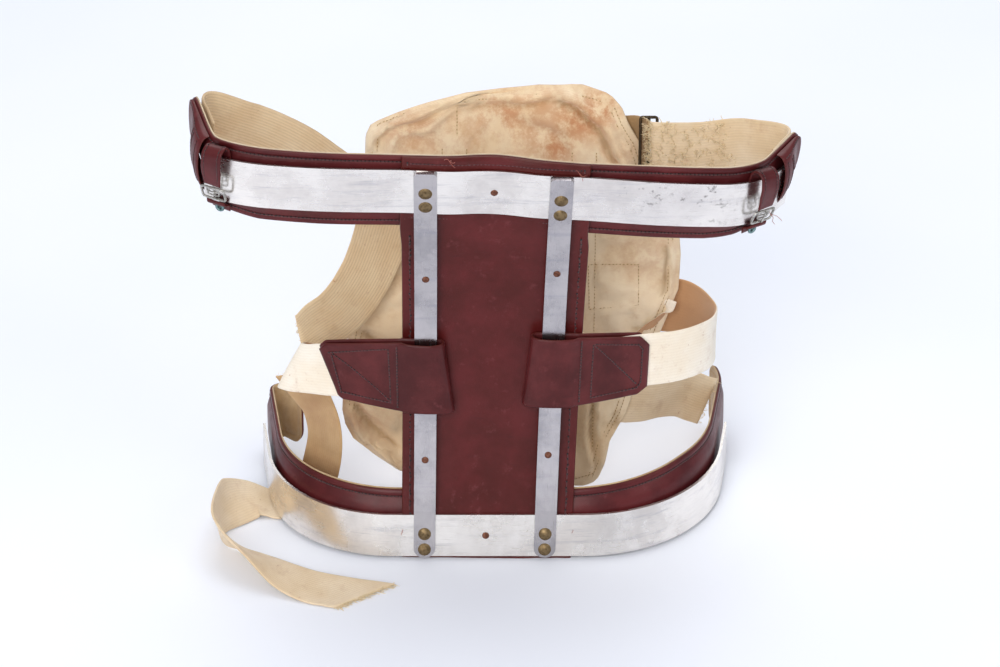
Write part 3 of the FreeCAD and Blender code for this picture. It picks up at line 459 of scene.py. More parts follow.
def stitches(path, into, pitch=2.7, length=1.5, radius=0.5, wave=0.1):
    """Thread along path, a list of (point, normal): an arched stitch and its needle hole per pitch."""
    spans = [(b[0] - a[0]).length for a, b in zip(path, path[1:])]
    total = sum(spans)
    for k in range(int(total / pitch)):
        middle = (k + 0.5) * pitch + random.uniform(-wave, wave) * pitch
        index = 0
        while index < len(spans) - 1 and middle > spans[index]:
            middle -= spans[index]
            index += 1
        share = min(middle / max(spans[index], 1e-6), 1)
        point = path[index][0].lerp(path[index + 1][0], share)
        out = path[index][1].lerp(path[index + 1][1], share).normalized()
        ahead = (path[index + 1][0] - path[index][0]).normalized()
        ahead = (ahead + out.cross(ahead) * random.uniform(-wave, wave)).normalized()
        bits = [point + ahead * (length * t) + out * (radius * lift)
                for t, lift in ((-0.5, -0.9), (-0.3, 0.25), (0, 0.5), (0.3, 0.25), (0.5, -0.9))]
        tube(bits, radius, sides=6, into=into, taper=(0.5, 1, 1, 1, 0.5))
        # the needle hole: a small dark blob, painted shade in the hole
        hole = point + ahead * (pitch / 2) - out * (radius * 0.25)
        first = len(into.points)
        tube([hole - ahead * 0.6, hole, hole + ahead * 0.6], radius * 1.4, sides=6, into=into,
             taper=(0.7, 1, 0.7))
        into.rim[first:] = [1.0] * (len(into.points) - first)


def hair(start, direction, length, curl, radius, into, steps=7):
    """One loose thread that wanders as it goes."""
    point, heading = start.copy(), direction.normalized()
    points = [point.copy()]
    for _ in range(steps):
        drift = Vector([random.uniform(-1, 1) for _ in range(3)])
        heading = (heading + drift * curl).normalized()
        point = point + heading * (length / steps)
        point.z = max(point.z, radius)
        points.append(point.copy())
    tube(points, radius, sides=4, into=into, taper=[1.0] * steps + [0.5])


# ---------------------------------------------------------------- the runs of the CAD frame


def along(start, heading, steps, distance, mirror=1):
    """The point and the heading at a distance along a run of lines and tangent arcs."""
    x, y = start
    for step in steps:
        if step[0] == "line":
            length = min(distance, step[1])
            x, y = x + length * cos(heading), y + length * sin(heading)
        else:
            radius, side = step[1], step[3]
            length = min(distance, radius * math.radians(step[2]))
            cx, cy = x - side * radius * sin(heading), y + side * radius * cos(heading)
            heading += side * math.degrees(length / radius)
            x, y = cx + side * radius * sin(heading), cy - side * radius * cos(heading)
        distance -= length
        if distance <= 0:
            break
    return start[0] + mirror * (x - start[0]), y, heading


def run_length(steps):
    return sum(s[1] if s[0] == "line" else s[1] * math.radians(s[2]) for s in steps)


def reach(band, s):
    """How far a band runs from its middle on the side of s."""
    return run_length(BANDS[band][3]["right" if s >= 0 else "left"])


THORACIC_MIDDLE = [("arc", 98, 11.5, -1), ("arc", 98, 11.5, 1), ("line", 17), ("arc", 200, 4, -1),
                   ("line", 24), ("arc", 400, 9, 1)]
THORACIC_PLACE = (Matrix.Translation((7, 0, 278.6)) @ Matrix.Rotation(math.radians(1.2), 4, "Z")
                  @ Matrix.Rotation(math.radians(3.3), 4, "Y"))
BANDS = {
    "pelvic": ((0.0, 0.0), 16.0, Matrix.Translation((0, 0, 3.2)), {
        "left": [("line", 68), ("arc", 100, 80, 1), ("line", 62), ("arc", 15, 150, 1), ("line", 22)],
        "right": [("line", 73), ("arc", 112, 80, 1), ("line", 62), ("arc", 60, 26, 1), ("line", 10)]}),
    "thoracic": ((0.0, 20.3), -13.0, THORACIC_PLACE, {
        "left": THORACIC_MIDDLE + [("arc", 90, 23, 1), ("arc", 30, 42, 1), ("line", 42)],
        "right": THORACIC_MIDDLE + [("arc", 55, 52, 1), ("line", 44)]}),
}


def strip(band, s, out, up):
    """A point near a band: s from its middle (negative to the left), out of its face, up from its edge."""
    start, slope, place, runs = BANDS[band]
    side, mirror = ("right", 1) if s >= 0 else ("left", -1)
    x, y, heading = along(start, 0, runs[side], abs(s), mirror)
    outward = Vector((mirror * sin(heading), -cos(heading), 0))
    return place @ (Vector((x, y, 0)) + outward * out + Vector((0, up * tan(slope), up)))


def strip_axes(band, s):
    """Outward, along (towards the right) and upward directions of a band at s."""
    middle = strip(band, s, 0, 10)
    ahead = (strip(band, s + 0.5, 0, 10) - strip(band, s - 0.5, 0, 10)).normalized()
    up = (strip(band, s, 0, 11) - middle).normalized()
    return ahead.cross(up).normalized(), ahead, up


LUMBAR_CENTRE = (-449.56, 169.56)
LUMBAR_RADIUS = 478.0
SIDES = {"left": {"sign": -1, "lean": 0.94, "head": 42.0, "loop": 144.0},
         "right": {"sign": 1, "lean": 1.85, "head": 37.0, "loop": 149.0}}


def lean_bar(side, x, y, z):
    """From an upright's own axes to the brace's."""
    data = SIDES[side]
    c, s = cos(data["lean"]), sin(data["lean"])
    return Vector((data["sign"] * 44.5 + x * c + (z - 3.2) * s, y, 3.2 - x * s + (z - 3.2) * c))


def bar_point(side, distance, x, out):
    steps = [("line", 36), ("arc", LUMBAR_RADIUS, 29, 1), ("line", SIDES[side]["head"])]
    y, z, heading = along((0, 3.2), 74, steps, distance)
    return lean_bar(side, x, y - sin(heading) * out, z + cos(heading) * out)


def arc_point(side, x, rho, rise):
    """A point of an upright's loop: rho from the lumbar axis, rise up the arc from the loop's middle."""
    angle = math.asin((SIDES[side]["loop"] - LUMBAR_CENTRE[1]) / LUMBAR_RADIUS) + rise / LUMBAR_RADIUS
    y, z = LUMBAR_CENTRE[0] + rho * math.cos(angle), LUMBAR_CENTRE[1] + rho * math.sin(angle)
    return lean_bar(side, x, y, z)


def panel_point(distance, x, out):
    steps = [("line", 62), ("arc", 404, 29, 1), ("line", 30)]
    y, z, heading = along((0.755, -3.6), 74, steps, distance)
    y, z = y - sin(heading) * out, z + cos(heading) * out
    return Vector((x * cos(1.3) + z * sin(1.3) + 1.5, y, z * cos(1.3) - x * sin(1.3)))


# ---------------------------------------------------------------- pads

STITCH_IN = 4.4  # rows of stitches from the pad's edge
END_ROUND = 11.0  # radius of the corners of a pad's ends
LINED_TO = 250  # the pelvic pad's lining has no stitches past this distance

def pad_levels(height):
    """Distances up a pad's face, closer together at its rims and at its two rows of stitches."""
    squeeze = min(1.0, height / 36)
    rim = [d * squeeze for d in (0.0, 0.5, 1.5, 2.7, 3.6, 4.0, 4.4, 4.8, 5.4, 7.0, 9.5, 12.5, 15.5)]
    inner = [lerp(rim[-1], height - rim[-1], k / 6) for k in range(1, 6)]
    return rim + inner + [height - d for d in reversed(rim)]


def pad_outer(edge):
    """The leather face's place: pinched at the rim, sunk at the stitches and swelling between them."""
    sunk = 0.75 * math.exp(-((edge - STITCH_IN) / 0.65) ** 2)
    return -7.3 + 2.1 * ease((edge - 4.8) / 8.5) - sunk - 0.5 * ease((1.2 - edge) / 1.2)


def pad_inner(edge):
    sunk = 0.5 * math.exp(-((edge - STITCH_IN) / 0.8) ** 2)
    return -10.6 - 2.0 * ease((edge - 4.8) / 9.0) + sunk + 0.35 * ease((1.0 - edge) / 1.0)


PAD_EDGES = {
    "pelvic": ([(-331, 12), (-302, 9), (-284, 4), (-264, 1), (-244, 0), (120, 0), (300, 0.8)],
               [(-331, 47), (-300, 49), (-230, 48), (-120, 46.5), (-50, 44.5), (60, 44.5), (120, 48.5),
                (165, 52), (215, 52), (300, 49)]),
    "thoracic": ([(-257, 21), (-240, 15), (-220, 5), (-205, -4), (-190, -11), (-165, -14.5), (-120, -15.5),
                  (-60, -15.5), (0, -13), (60, -15.5), (150, -15), (175, -12.5), (190, -9), (205, -2.5),
                  (220, 5), (236, 12), (251, 19)],
                 [(-257, 61), (-240, 56), (-222, 50), (-205, 46.5), (-185, 46), (-130, 45), (-60, 44.5),
                  (0, 46), (40, 44.5), (60, 43.5), (110, 45.5), (170, 46), (200, 46), (225, 49), (251, 53)]),
}


def pad_span(band, s):
    """The lower and upper edge at s; the ends are rounded off."""
    low, high = (table(s, rows) for rows in PAD_EDGES[band])
    left = max(reach(band, s) - abs(s), 0)
    if left < END_ROUND:
        drop = END_ROUND - math.sqrt(max(END_ROUND ** 2 - (END_ROUND - left) ** 2, 0))
        low, high = low + drop, high - drop
    return low, high


def pad_rows(band):
    """Distances along a pad, closer together at its ends."""
    rows = []
    for sign in (-1, 1):
        total = reach(band, sign)
        ends = [total - d for d in (0.0, 0.4, 1.2, 2.4, 4.0, 6.0, 8.5, 11.0, 14.0)]
        middle = [total * k / 72 for k in range(0 if sign > 0 else 1, 72) if total * k / 72 < total - 16]
        rows += [sign * value for value in middle + ends]
    return sorted(set(rows))


def pad(band, lining):
    """A pad's leather face, and the padded lining that carries its filling."""
    rows = pad_rows(band)
    outer, between, inner = [], [], []
    for s in rows:
        low, high = pad_span(band, s)
        height = high - low
        left = reach(band, s) - abs(s)
        o_row, m_row, i_row = [], [], []
        for level in pad_levels(height):
            edge = min(level, height - level, max(left, 0) + 0.01)
            swell = 0.35 * noise.noise(Vector((s / 38, level / 30, 3.1)))
            wave = 0.9 * noise.noise(Vector((s / 55, 7.7, 0))) * ease(edge / 12)
            front, back = pad_outer(edge) + swell * ease(edge / 9), pad_inner(edge) - wave
            o_row.append(strip(band, s, front, low + level))
            m_row.append(strip(band, s, front - 1.7, low + level))
            i_row.append((s, level, back, low, height))
        outer.append(o_row)
        between.append(m_row)
        inner.append(i_row)
    shell(outer, between).build(f"{band}_pad_face", LEATHER, slot="brown_leather",
                                replaces=[f"{band}_pad_leather"])
    front, back = [], []
    for m_row, i_row in zip(between, inner):
        f_row, b_row = [], []
        for p, (s, level, depth, low, height) in zip(m_row, i_row):
            share = (level / height - 0.5) * 2
            up = low + level + share * 0.9
            away = 0.8 if abs(s) > reach(band, s) - 0.3 else 0
            edge = math.copysign(abs(s) + away, s)
            f_row.append(strip(band, s, 0, up) + (p - strip(band, s, 0, low + level)) * 1.012)
            b_row.append(strip(band, edge, depth, up))
        front.append(f_row)
        back.append(b_row)
    cushion = shell(front, back, 0.25).build(f"{band}_pad_cushion", lining, slot="suede",
                                             replaces=[f"{band}_pad_lining", f"{band}_pad_felt"])
    rim_stitches(band, rows)


def rim_stitches(band, rows):
    """Two rows of stitches along each pad that meet round its ends, on both faces."""
    inset = [s for s in rows if -reach(band, -1) + STITCH_IN < s < reach(band, 1) - STITCH_IN]
    for depth, facing in ((pad_outer(STITCH_IN) + 0.45, 1), (pad_inner(STITCH_IN) - 0.25, -1)):
        for edge in (0, 1):
            path = []
            for s in inset:
                if facing < 0 and band == "pelvic" and abs(s) > LINED_TO:
                    continue
                low, high = pad_span(band, s)
                up = low + STITCH_IN if edge == 0 else high - STITCH_IN
                path.append((strip(band, s, depth, up), strip_axes(band, s)[0] * facing))
            stitches(path, THREADS["frame"])
        for sign in (-1, 1) if facing > 0 or band == "thoracic" else ():
            s = sign * (reach(band, sign) - STITCH_IN)
            low, high = pad_span(band, s)
            out = strip_axes(band, s)[0] * facing
            path = [(strip(band, s, depth, lerp(low + 6, high - 6, k / 8)), out) for k in range(9)]
            stitches(path, THREADS["frame"])


# ---------------------------------------------------------------- back panel


PANEL_REACH = 290.0
PANEL_CREASES = ((238, 0.35, 8), (229, 0.3, -6), (247, 0.25, 5), (180, 0.2, 7))  # distance, depth, bend
PANEL_STITCHES = dict(pitch=4.4, length=3.0, radius=0.55, wave=0.25)
LOOP_ZONE = (90, 240)  # where a sliding loop can lie over the edge stitches, which are sunk there
HEAD_LOW = 6.0
HEAD_TALL = 58.6


def panel_face(distance, x, out):
    """The panel's surface: near its top it takes the shape of the upper band, which it lies behind."""
    own = panel_point(distance, x, out)
    share = ease((distance - 256) / 22)
    if not share:
        return own
    return own.lerp(strip("thoracic", own.x - 7, out - 2.65, (distance - 287.5) * 0.974), share)


def panel_width(distance, share):
    """The panel's edge to the left or right, as its share of the half width."""
    along_it = distance / PANEL_REACH
    return share * (lerp(62.3, 67.0, along_it) if share > 0 else lerp(62.5, 64.5, along_it))


def panel_leather_at(s, share):
    x = panel_width(s, share)
    edge = min(1 - abs(share), 0.06) / 0.06
    crease = 0.0
    for centre, deep, bend in PANEL_CREASES:
        crease -= deep * math.exp(-((s - centre - bend * (share ** 2 - 0.2)) / 1.8) ** 2)
    swell = 0.9 * noise.noise(Vector((x / 34, s / 46, 1.5)))
    bow = (swell + crease) * (1 - share ** 2) * (1 - ease((s - 250) / 20))
    sunk = -0.3 * math.exp(-((abs(x) - 57.5) / 0.8) ** 2)
    # the panel stays under the bars and lies free between them
    under = math.exp(-((abs(x - 1) - 44) / 13) ** 4)
    lift = max(bow, -0.5) * (1 - under) - 0.35 * under + sunk - 0.25 * (1 - edge)
    return panel_face(s, x, lift), panel_face(s, x, lift - 1.9 + 0.6 * (1 - edge))


def panel_lining_at(k, j):
    s, x, tip = lerp(60.5, 252.0, k / 56), 59.3 * j / 20, max(abs(j / 20), abs(k / 28 - 1))
    pinch = ease((tip - 0.9) / 0.1)
    swell = 0.35 * noise.noise(Vector((x / 25, s / 30, 8)))
    return panel_point(s, x, -2.9), panel_point(s, x, -5.4 - swell + 1.6 * pinch)


def panel():
    """The panel's leather, its soft lining and the head piece across the upper band."""
    start, reached = 3.95, PANEL_REACH
    rows = [start, 4.5, 6] + [start + (reached - start) * k / 84 for k in range(1, 84)]
    shares = [-1, -0.992, -0.96] + [k / 18 for k in range(-17, 18)] + [0.96, 0.992, 1]
    face = shell(*grids(rows + [reached - 0.6, reached], shares, panel_leather_at))
    face.build("back_panel_face", PANEL_LEATHER, slot="brown_leather", replaces=["back_panel_leather"])
    cushion = shell(*grids(range(57), range(-20, 21), panel_lining_at), 0.2)
    lining = cushion.build("back_panel_cushion", SUEDE, slot="suede", replaces=["back_panel_lining"])
    for sign, spread in ((-1, 2.0), (1, 4.5)):
        for facing, depth in ((1, 0.1), (-1, -5.2)):
            path = []
            for k in range(90):
                s = lerp(8, 270, k / 89)
                x = sign * lerp(57.2, 57.2 + spread, s / PANEL_REACH)
                level = depth if s > 62 or facing > 0 else -2.3
                if facing > 0 and LOOP_ZONE[0] < s < LOOP_ZONE[1]:
                    level = -0.3
                here = panel_point(s, x, level)
                ahead = panel_point(s + 1, x, level) - here
                path.append((here, Vector((1, 0, 0)).cross(ahead).normalized() * -facing))
            stitches(path, THREADS["frame"], **PANEL_STITCHES)
    head()


def head_at(s, level):
    low, high = HEAD_LOW, pad_span("thoracic", s)[1] + 0.6
    up = low + level * (high - low) / HEAD_TALL
    edge = min(level, HEAD_TALL - level)
    sunk = -0.35 * math.exp(-((edge - 5.5) / 0.7) ** 2) - 1.6 * ease((5 - edge) / 5)
    return strip("thoracic", s, -2.75 + sunk, up), strip("thoracic", s, -4.85 + sunk * 0.9, up)


def head():
    """The panel's head: leather across the pad behind the upper band."""
    levels = [0, 0.6, 2, 4.6, 5.5, 6.4, 9] + [11 + 4 * k for k in range(10)]
    levels += [50.6, 52.1, 53, 53.9, 56.5, 58, HEAD_TALL]
    columns = [-64.3, -63.8, -62.5] + [-60 + 3 * k for k in range(41)] + [62.5, 63.8, 64.3]
    shell(*grids(columns, levels, head_at)).build("panel_head", PANEL_LEATHER, slot="brown_leather",
                                                  replaces=["panel_head_leather"])
    for s in (-61.0, 61.0):
        out = strip_axes("thoracic", s)[0]
        for depth, low in ((-2.7, 39), (-3.3, -8)):
            stitches([(strip("thoracic", s, depth, low + up), out) for up in (0, 5)], THREADS["frame"])
    for up, depth in ((41.2, -3.2), (-5.6, -3.4)):
        path = [(strip("thoracic", s, depth, up), strip_axes("thoracic", s)[0]) for s in range(-60, 61, 4)]
        stitches(path, THREADS["frame"])


# ---------------------------------------------------------------- straps


def hermite(values, spacing):
    """Smooth samples through rows of vectors, set by the distances between their first vectors."""
    count = len(values)
    gaps = [(values[i + 1][0] - values[i][0]).length for i in range(count - 1)]
    slopes = []
    for i in range(count):
        row = []
        for k in range(len(values[0])):
            after = (values[i + 1][k] - values[i][k]) / gaps[i] if i < count - 1 else None
            before = (values[i][k] - values[i - 1][k]) / gaps[i - 1] if i else None
            if after is None or before is None:
                row.append(before if after is None else after)
            else:
                row.append((after * gaps[i - 1] + before * gaps[i]) / (gaps[i] + gaps[i - 1]))
        slopes.append(row)
    samples = []
    for i, gap in enumerate(gaps):
        parts = max(1, round(gap / spacing))
        for j in range(parts + (i == count - 2)):
            t = j / parts
            a, b = (1 + 2 * t) * (1 - t) ** 2, t * (1 - t) ** 2
            c, d = t * t * (3 - 2 * t), t * t * (t - 1)
            samples.append([values[i][k] * a + slopes[i][k] * (b * gap) + values[i + 1][k] * c
                            + slopes[i + 1][k] * (d * gap) for k in range(len(values[0]))])
    return samples


def frames(stations, spacing, slant=0.0):
    """Point, across, ahead and face direction of a strap at every sample; its first slant mm may lean."""
    rows = hermite([(Vector(p), Vector(a).normalized()) for p, a in stations], spacing)
    result = []
    for i, (point, across) in enumerate(rows):
        ahead = (rows[min(i + 1, len(rows) - 1)][0] - rows[max(i - 1, 0)][0]).normalized()
        square = ease((i * spacing - slant / 2) / (slant / 2)) if slant else 1.0
        across = (across - ahead * (across.dot(ahead) * square)).normalized()
        result.append((point, across, ahead, ahead.cross(across).normalized()))
    return result


def strap_mesh(stations, width, thick, spacing=2.5, wobble=0.5, cup=0.0, seed=0.0, shape=None, turned=False,
               slant=0.0, skew=0.0):
    """A strap as a closed sheet and its samples; shape(share) scales its width, skew slants its far end."""
    rows = frames(stations, spacing, slant)
    shares = [-1, -0.975, -0.93] + [k / 8 for k in range(-7, 8)] + [0.93, 0.975, 1]
    outer, inner = [], []
    for i, (point, across, ahead, face) in enumerate(rows):
        o_row, i_row = [], []
        end = min(i, len(rows) - 1 - i)
        half = width / 2 * (shape(i / (len(rows) - 1)) if shape else 1.0)
        for share in shares:
            v = share * (half + wobble * 0.35 * noise.noise(Vector((i * spacing / 9, share * 2, seed + 3))))
            bend = cup * (share ** 2 - 0.4) + wobble * noise.noise(Vector((i * spacing / 26, v / 17, seed)))
            thin = 0.35 if abs(share) == 1 or end == 0 else (0.8 if abs(share) > 0.97 else 1.0)
            base = point + across * v + face * bend
            base += ahead * (skew * (share - 0.15) * ease(1.0 - (len(rows) - 1 - i) * spacing / 40))
            o_row.append(base + face * (thick / 2 * thin))
            i_row.append(base - face * (thick / 2 * thin))
        outer.append(o_row)
        inner.append(i_row)
    if turned:
        outer, inner = inner, outer
    return shell(outer, inner, 0.3), rows


def sewn(sign, places, out):
    """Stations on the lining of the upper band's pad, each a distance and a height."""
    result = []
    for distance, up in places:
        s = sign * distance
        axes = strip_axes("thoracic", s)
        result.append((strip("thoracic", s, out, up * cos(13)), axes[2]))
    return result


UP = (0, 0, 1)
# Each strap's width, material, seed for its waves, and stations: a point and the direction across it.
STRAPS = {
    "left_side_strap": (43, WEB_PALE, 1.0, [
        ((-83, 33.1, 143), (0.08, 0.034, 1)), ((-113.5, 42.4, 139), (0.12, 0.03, 1)),
        ((-127, 49.5, 136), (0.24, 0, 0.97)), ((-138, 55, 133.5), (0.38, 0, 0.92)),
        ((-143.5, 60, 132.5), (0.46, 0, 0.89)), ((-141.5, 65, 130.5), (0.46, 0, 0.89)),
        ((-134, 70, 126), (0.42, -0.05, 0.9)), ((-124, 74, 121), (0.35, -0.1, 0.93))]),
    # painted shade: this shadowed run of the strap gets the darker webbing
    "lower_left_strap": (38, WEB_SHADED, 2.0, [
        ((-140, 79, 115), (0.86, -0.3, 0.4)), ((-133, 80.5, 99), (0.84, -0.42, 0.25)),
        ((-124, 79, 80), (0.78, -0.6, 0)),
        ((-121, 77, 58), (0.72, -0.7, 0)), ((-124, 75, 38), (0.7, -0.7, -0.1)),
        ((-131, 72, 18), (0.6, -0.75, -0.1)), ((-139, 71, 6.5), (0.45, -0.88, 0)),
        ((-150, 69.8, 2.4), (0.3, -0.95, 0))]),
    "loose_strap_tail": (38, WEB_TAN, 3.0, [
        ((-150.8, 70, 1.6), (0.3, -0.95, 0)), ((-166, 73, 1.7), (0.15, -0.99, 0)),
        ((-178, 71, 7.4), (0.45, -0.85, -0.3)), ((-189, 58, 14.0), (0.35, -0.7, -0.62)),
        ((-197, 42, 18.8), (0.12, -0.4, -0.9)), ((-200, 27, 20.2), (0.1, 0, -1)),
        ((-197, 12, 19.2), (0.25, 0.2, -0.94)), ((-186, -1, 17.1), (0.4, 0.45, -0.8)),
        ((-165, -15, 11.2), (0.4, 0.75, -0.5)), ((-145, -27, 4.2), (0.3, 0.93, -0.13)),
        ((-125, -37, 1.5), (0.25, 0.97, 0)), ((-105, -43, 1.3), (0.2, 0.98, 0)),
        ((-84, -48, 1.3), (0.2, 0.98, 0))]),
    "left_apron_strap": (43, WEB_RIBBED, 4.0, [
        ((-137, 84, 140), (-0.14, -0.06, 1)), ((-126, 89, 147), (-0.34, -0.06, 0.94)),
        ((-110, 95, 156), (-0.44, -0.05, 0.9)),
        ((-92, 106, 176), (-0.57, -0.06, 0.82)), ((-79, 118, 202), (-0.75, -0.1, 0.65)),
        ((-70, 126, 232), (-0.85, 0, 0.5))]),
    "right_side_strap": (43, WEB_PALE, 5.0, [
        ((90, 33.3, 149), (0, 0.033, 1)), ((120.5, 42.6, 148), (0, 0.033, 1)), ((138, 50, 146), UP),
        ((156, 61, 145), UP), ((169, 76, 144), UP), ((172, 89, 144), UP), ((169, 103, 144), UP),
        ((161, 118, 144), (0, 0.1, 1)), ((150, 128, 144), (0, 0.17, 1)),
        ((134, 131.5, 144), (0, 0.17, 1))]),
    "upper_left_strap": (40, WEB_RIBBED, 6.0, sewn(-1, ((228, 30), (241, 34), (254, 37)), -14.6) + [
        ((-172, 99, 308), (0.2, -0.1, 1)), ((-140, 118, 283), (0.3, 0, 1)),
        ((-107, 129.5, 251), (0.3, 0.12, 1)), ((-92, 133.1, 239), (0.3, 0.17, 1)),
        ((-78, 131.5, 229), (0.3, 0.17, 1))]),
    "upper_right_strap": (40, WEB_TAN, 7.0, sewn(1, ((224, 24), (238, 27), (249, 30)), -14.6) + [
        ((191, 104, 292), (0, -0.05, 1)), ((158, 120, 281), (0, 0.05, 1)),
        ((134, 131, 275), (0, 0.17, 1)), ((123, 134.3, 274), (0, 0.17, 1))]),
    "apron_webbing_tab": (40, WEB_DARK, 8.0, [
        ((120, 137, 274), (0, 0.17, 1)), ((117, 142.5, 274), (0, 0.17, 1)),
        ((112, 147.6, 273), (0, 0.17, 1)), ((104, 149.4, 272), (0, 0.17, 1)),
        ((90, 149.6, 272), (0, 0.17, 1))]),
    "lower_right_strap": (40, WEB_TAN, 9.0, [
        ((175.5, 156.5, 42), (-0.3, 0, 1)), ((168, 154, 46), (-0.1, 0, 1)),
        ((158, 149, 53), (0.1, 0, 1)), ((142, 133, 62), (0.2, 0, 1)),
        ((124, 118, 68), (0.2, 0.1, 1)), ((112, 113.6, 71), (0.15, 0.17, 1)),
        ((98, 113.6, 72), (0.15, 0.17, 1))]),
}
# How far from its start a strap's cross lines may lean; the side strap's fold leans all along it.
SLANTS = {"left_side_strap": 4000.0, "left_apron_strap": 26.0}
TAIL_SKEW = 17.0  # how far the loose tail's end is cut off square


def straps():
    """Every webbing strap; gives each strap's samples for the threads at its ends."""
    ends = {}
    for name, (width, material, seed, stations) in STRAPS.items():
        mesh, rows = strap_mesh(stations, width, 2.0, wobble=0.35, cup=0.4, seed=seed,
                                turned=name == "left_side_strap", slant=SLANTS.get(name, 0.0),
                                skew=TAIL_SKEW if "tail" in name else 0.0)
        crossing = name in ("left_side_strap", "right_side_strap")
        piece = mesh.build(name + "_web", material, body=None if crossing else "frame", slot="webbing",
                           replaces=[name])
        "laid" if "tail" in name else "hung"
        if crossing:
            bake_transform(piece)
        ends[name] = rows
    return ends


def fray(rows, width, at_end, count, length, curl, mesh, lift=0.0, skew=0.0):
    """Loose threads at one end of a strap."""
    point, across, ahead, face = rows[-1 if at_end else 0]
    heading = ahead if at_end else -ahead
    for _ in range(count):
        away = random.uniform(-1, 1)
        start = point + across * (away * width / 2) + face * random.uniform(-0.8, 0.8)
        start += ahead * (skew * (away - 0.15) * at_end)
        lean = across * random.uniform(-0.5, 0.5) + face * random.uniform(-0.3, 0.3) + Vector((0, 0, lift))
        hair(start - heading * 1.2, heading + lean, random.uniform(0.3, 1) * length, curl,
             random.uniform(0.12, 0.24), mesh)


# ---------------------------------------------------------------- loops on the uprights


def rounded(points, times=2):
    """Corner cutting that keeps both ends."""
    for _ in range(times):
        cut_path = [points[0]]
        for a, b in zip(points, points[1:]):
            cut_path += [(lerp(a[0], b[0], 0.25), lerp(a[1], b[1], 0.25)),
                         (lerp(a[0], b[0], 0.75), lerp(a[1], b[1], 0.75))]
        points = cut_path + [points[-1]]
    return points


def resample(points, spacing):
    """Evenly spaced points along a path in a plane."""
    spans = [math.dist(a, b) for a, b in zip(points, points[1:])]
    total = sum(spans)
    count = max(2, round(total / spacing))
    result = []
    for k in range(count + 1):
        left, index = total * k / count, 0
        while index < len(spans) - 1 and left > spans[index]:
            left -= spans[index]
            index += 1
        t = min(left / max(spans[index], 1e-9), 1)
        result.append((lerp(points[index][0], points[index + 1][0], t),
                       lerp(points[index][1], points[index + 1][1], t)))
    return result


FLAP = {"left": (17.3, 25.4), "right": (22.0, 23.0)}  # above and below the middle, at the tip
FLAP_SLANT = {"left": 13.0, "right": 0.0}
SLEEVE_SLANT = {"left": 8.0, "right": 5.0}
CHAMFER = {"left": 4, "right": 7}
FLAP_FROM = 17.2  # where the flap starts beside the upright's middle
FLAP_TIP = 15 + 55.46
FLAP_TIP_RHO = 473.1 + 16.96
LOOP_HALF = 28  # half the loop's height on the upright


def flap_edges(side, straight):
    """The flap's lower and upper edge at a share of its way out."""
    return -lerp(LOOP_HALF, FLAP[side][1], straight), lerp(LOOP_HALF, FLAP[side][0], straight)


def loop(side):
    """One leather strip: back layer of the flap, round the upright, and the front layer."""
    sign = SIDES[side]["sign"]
    back = [(FLAP_TIP, FLAP_TIP_RHO + 5.4), (40, 486.7), (21, 481.0), (17, 479.9)]
    around = [(0, 479.9), (-14, 480.0), (-18.6, 478.8), (-19.0, 474.6), (-15.5, 471.6), (-8, 470.6),
              (2, 470.4), (12, 471.6)]
    front = [(19.5, 474.9), (23, 475.4), (40, 480.4), (FLAP_TIP, FLAP_TIP_RHO)]
    path = resample(rounded(back + around + front), 1.6)
    outer, inner = [], []
    levels = [0, 0.012, 0.04] + [k / 14 for k in range(1, 14)] + [0.96, 0.988, 1]
    for i, (x, rho) in enumerate(path):
        a, b = path[max(i - 1, 0)], path[min(i + 1, len(path) - 1)]
        length = math.dist(a, b)
        normal = ((b[1] - a[1]) / length, -(b[0] - a[0]) / length)
        straight = max(x - FLAP_FROM, 0) / (FLAP_TIP - FLAP_FROM)
        low, top = flap_edges(side, straight)
        end = min(i, len(path) - 1 - i)
        # chamfered corners at the flap's tip
        nearness = max(0, CHAMFER[side] - (FLAP_TIP - x))
        top, low = top - nearness, low + nearness * 0.7
        rows = {1.1: [], -1.1: []}
        for level in levels:
            rise = lerp(low, top, level)
            bulge = 0.5 * noise.noise(Vector((x / 16, rise / 13, rho / 9))) * (0.4 + 0.6 * ease(straight))
            flare = 0.7 * (abs(level - 0.5) * 2) ** 6 * (1 if x < 17 else 0)
            thin = 0.5 if level in (0, 1) or end == 0 else 1.0
            slant = FLAP_SLANT[side] * (level - 0.45) * straight
            slant += SLEEVE_SLANT[side] * (level - 0.15) * ease(-x / 16)
            px, pr = x + slant + normal[0] * (bulge + flare), rho + normal[1] * (bulge + flare)
            for half, row in rows.items():
                away = [part * half * thin for part in normal]
                row.append(arc_point(side, sign * (px + away[0]), pr + away[1], rise))
        outer.append(rows[1.1])
        inner.append(rows[-1.1])
    shell(outer, inner).build(f"{side}_loop_leather", LOOP_LEATHER, body=f"{side}_loop",
                              slot="brown_leather", replaces=[f"{side}_upright_loop"])
    flap_stitches(side, sign)


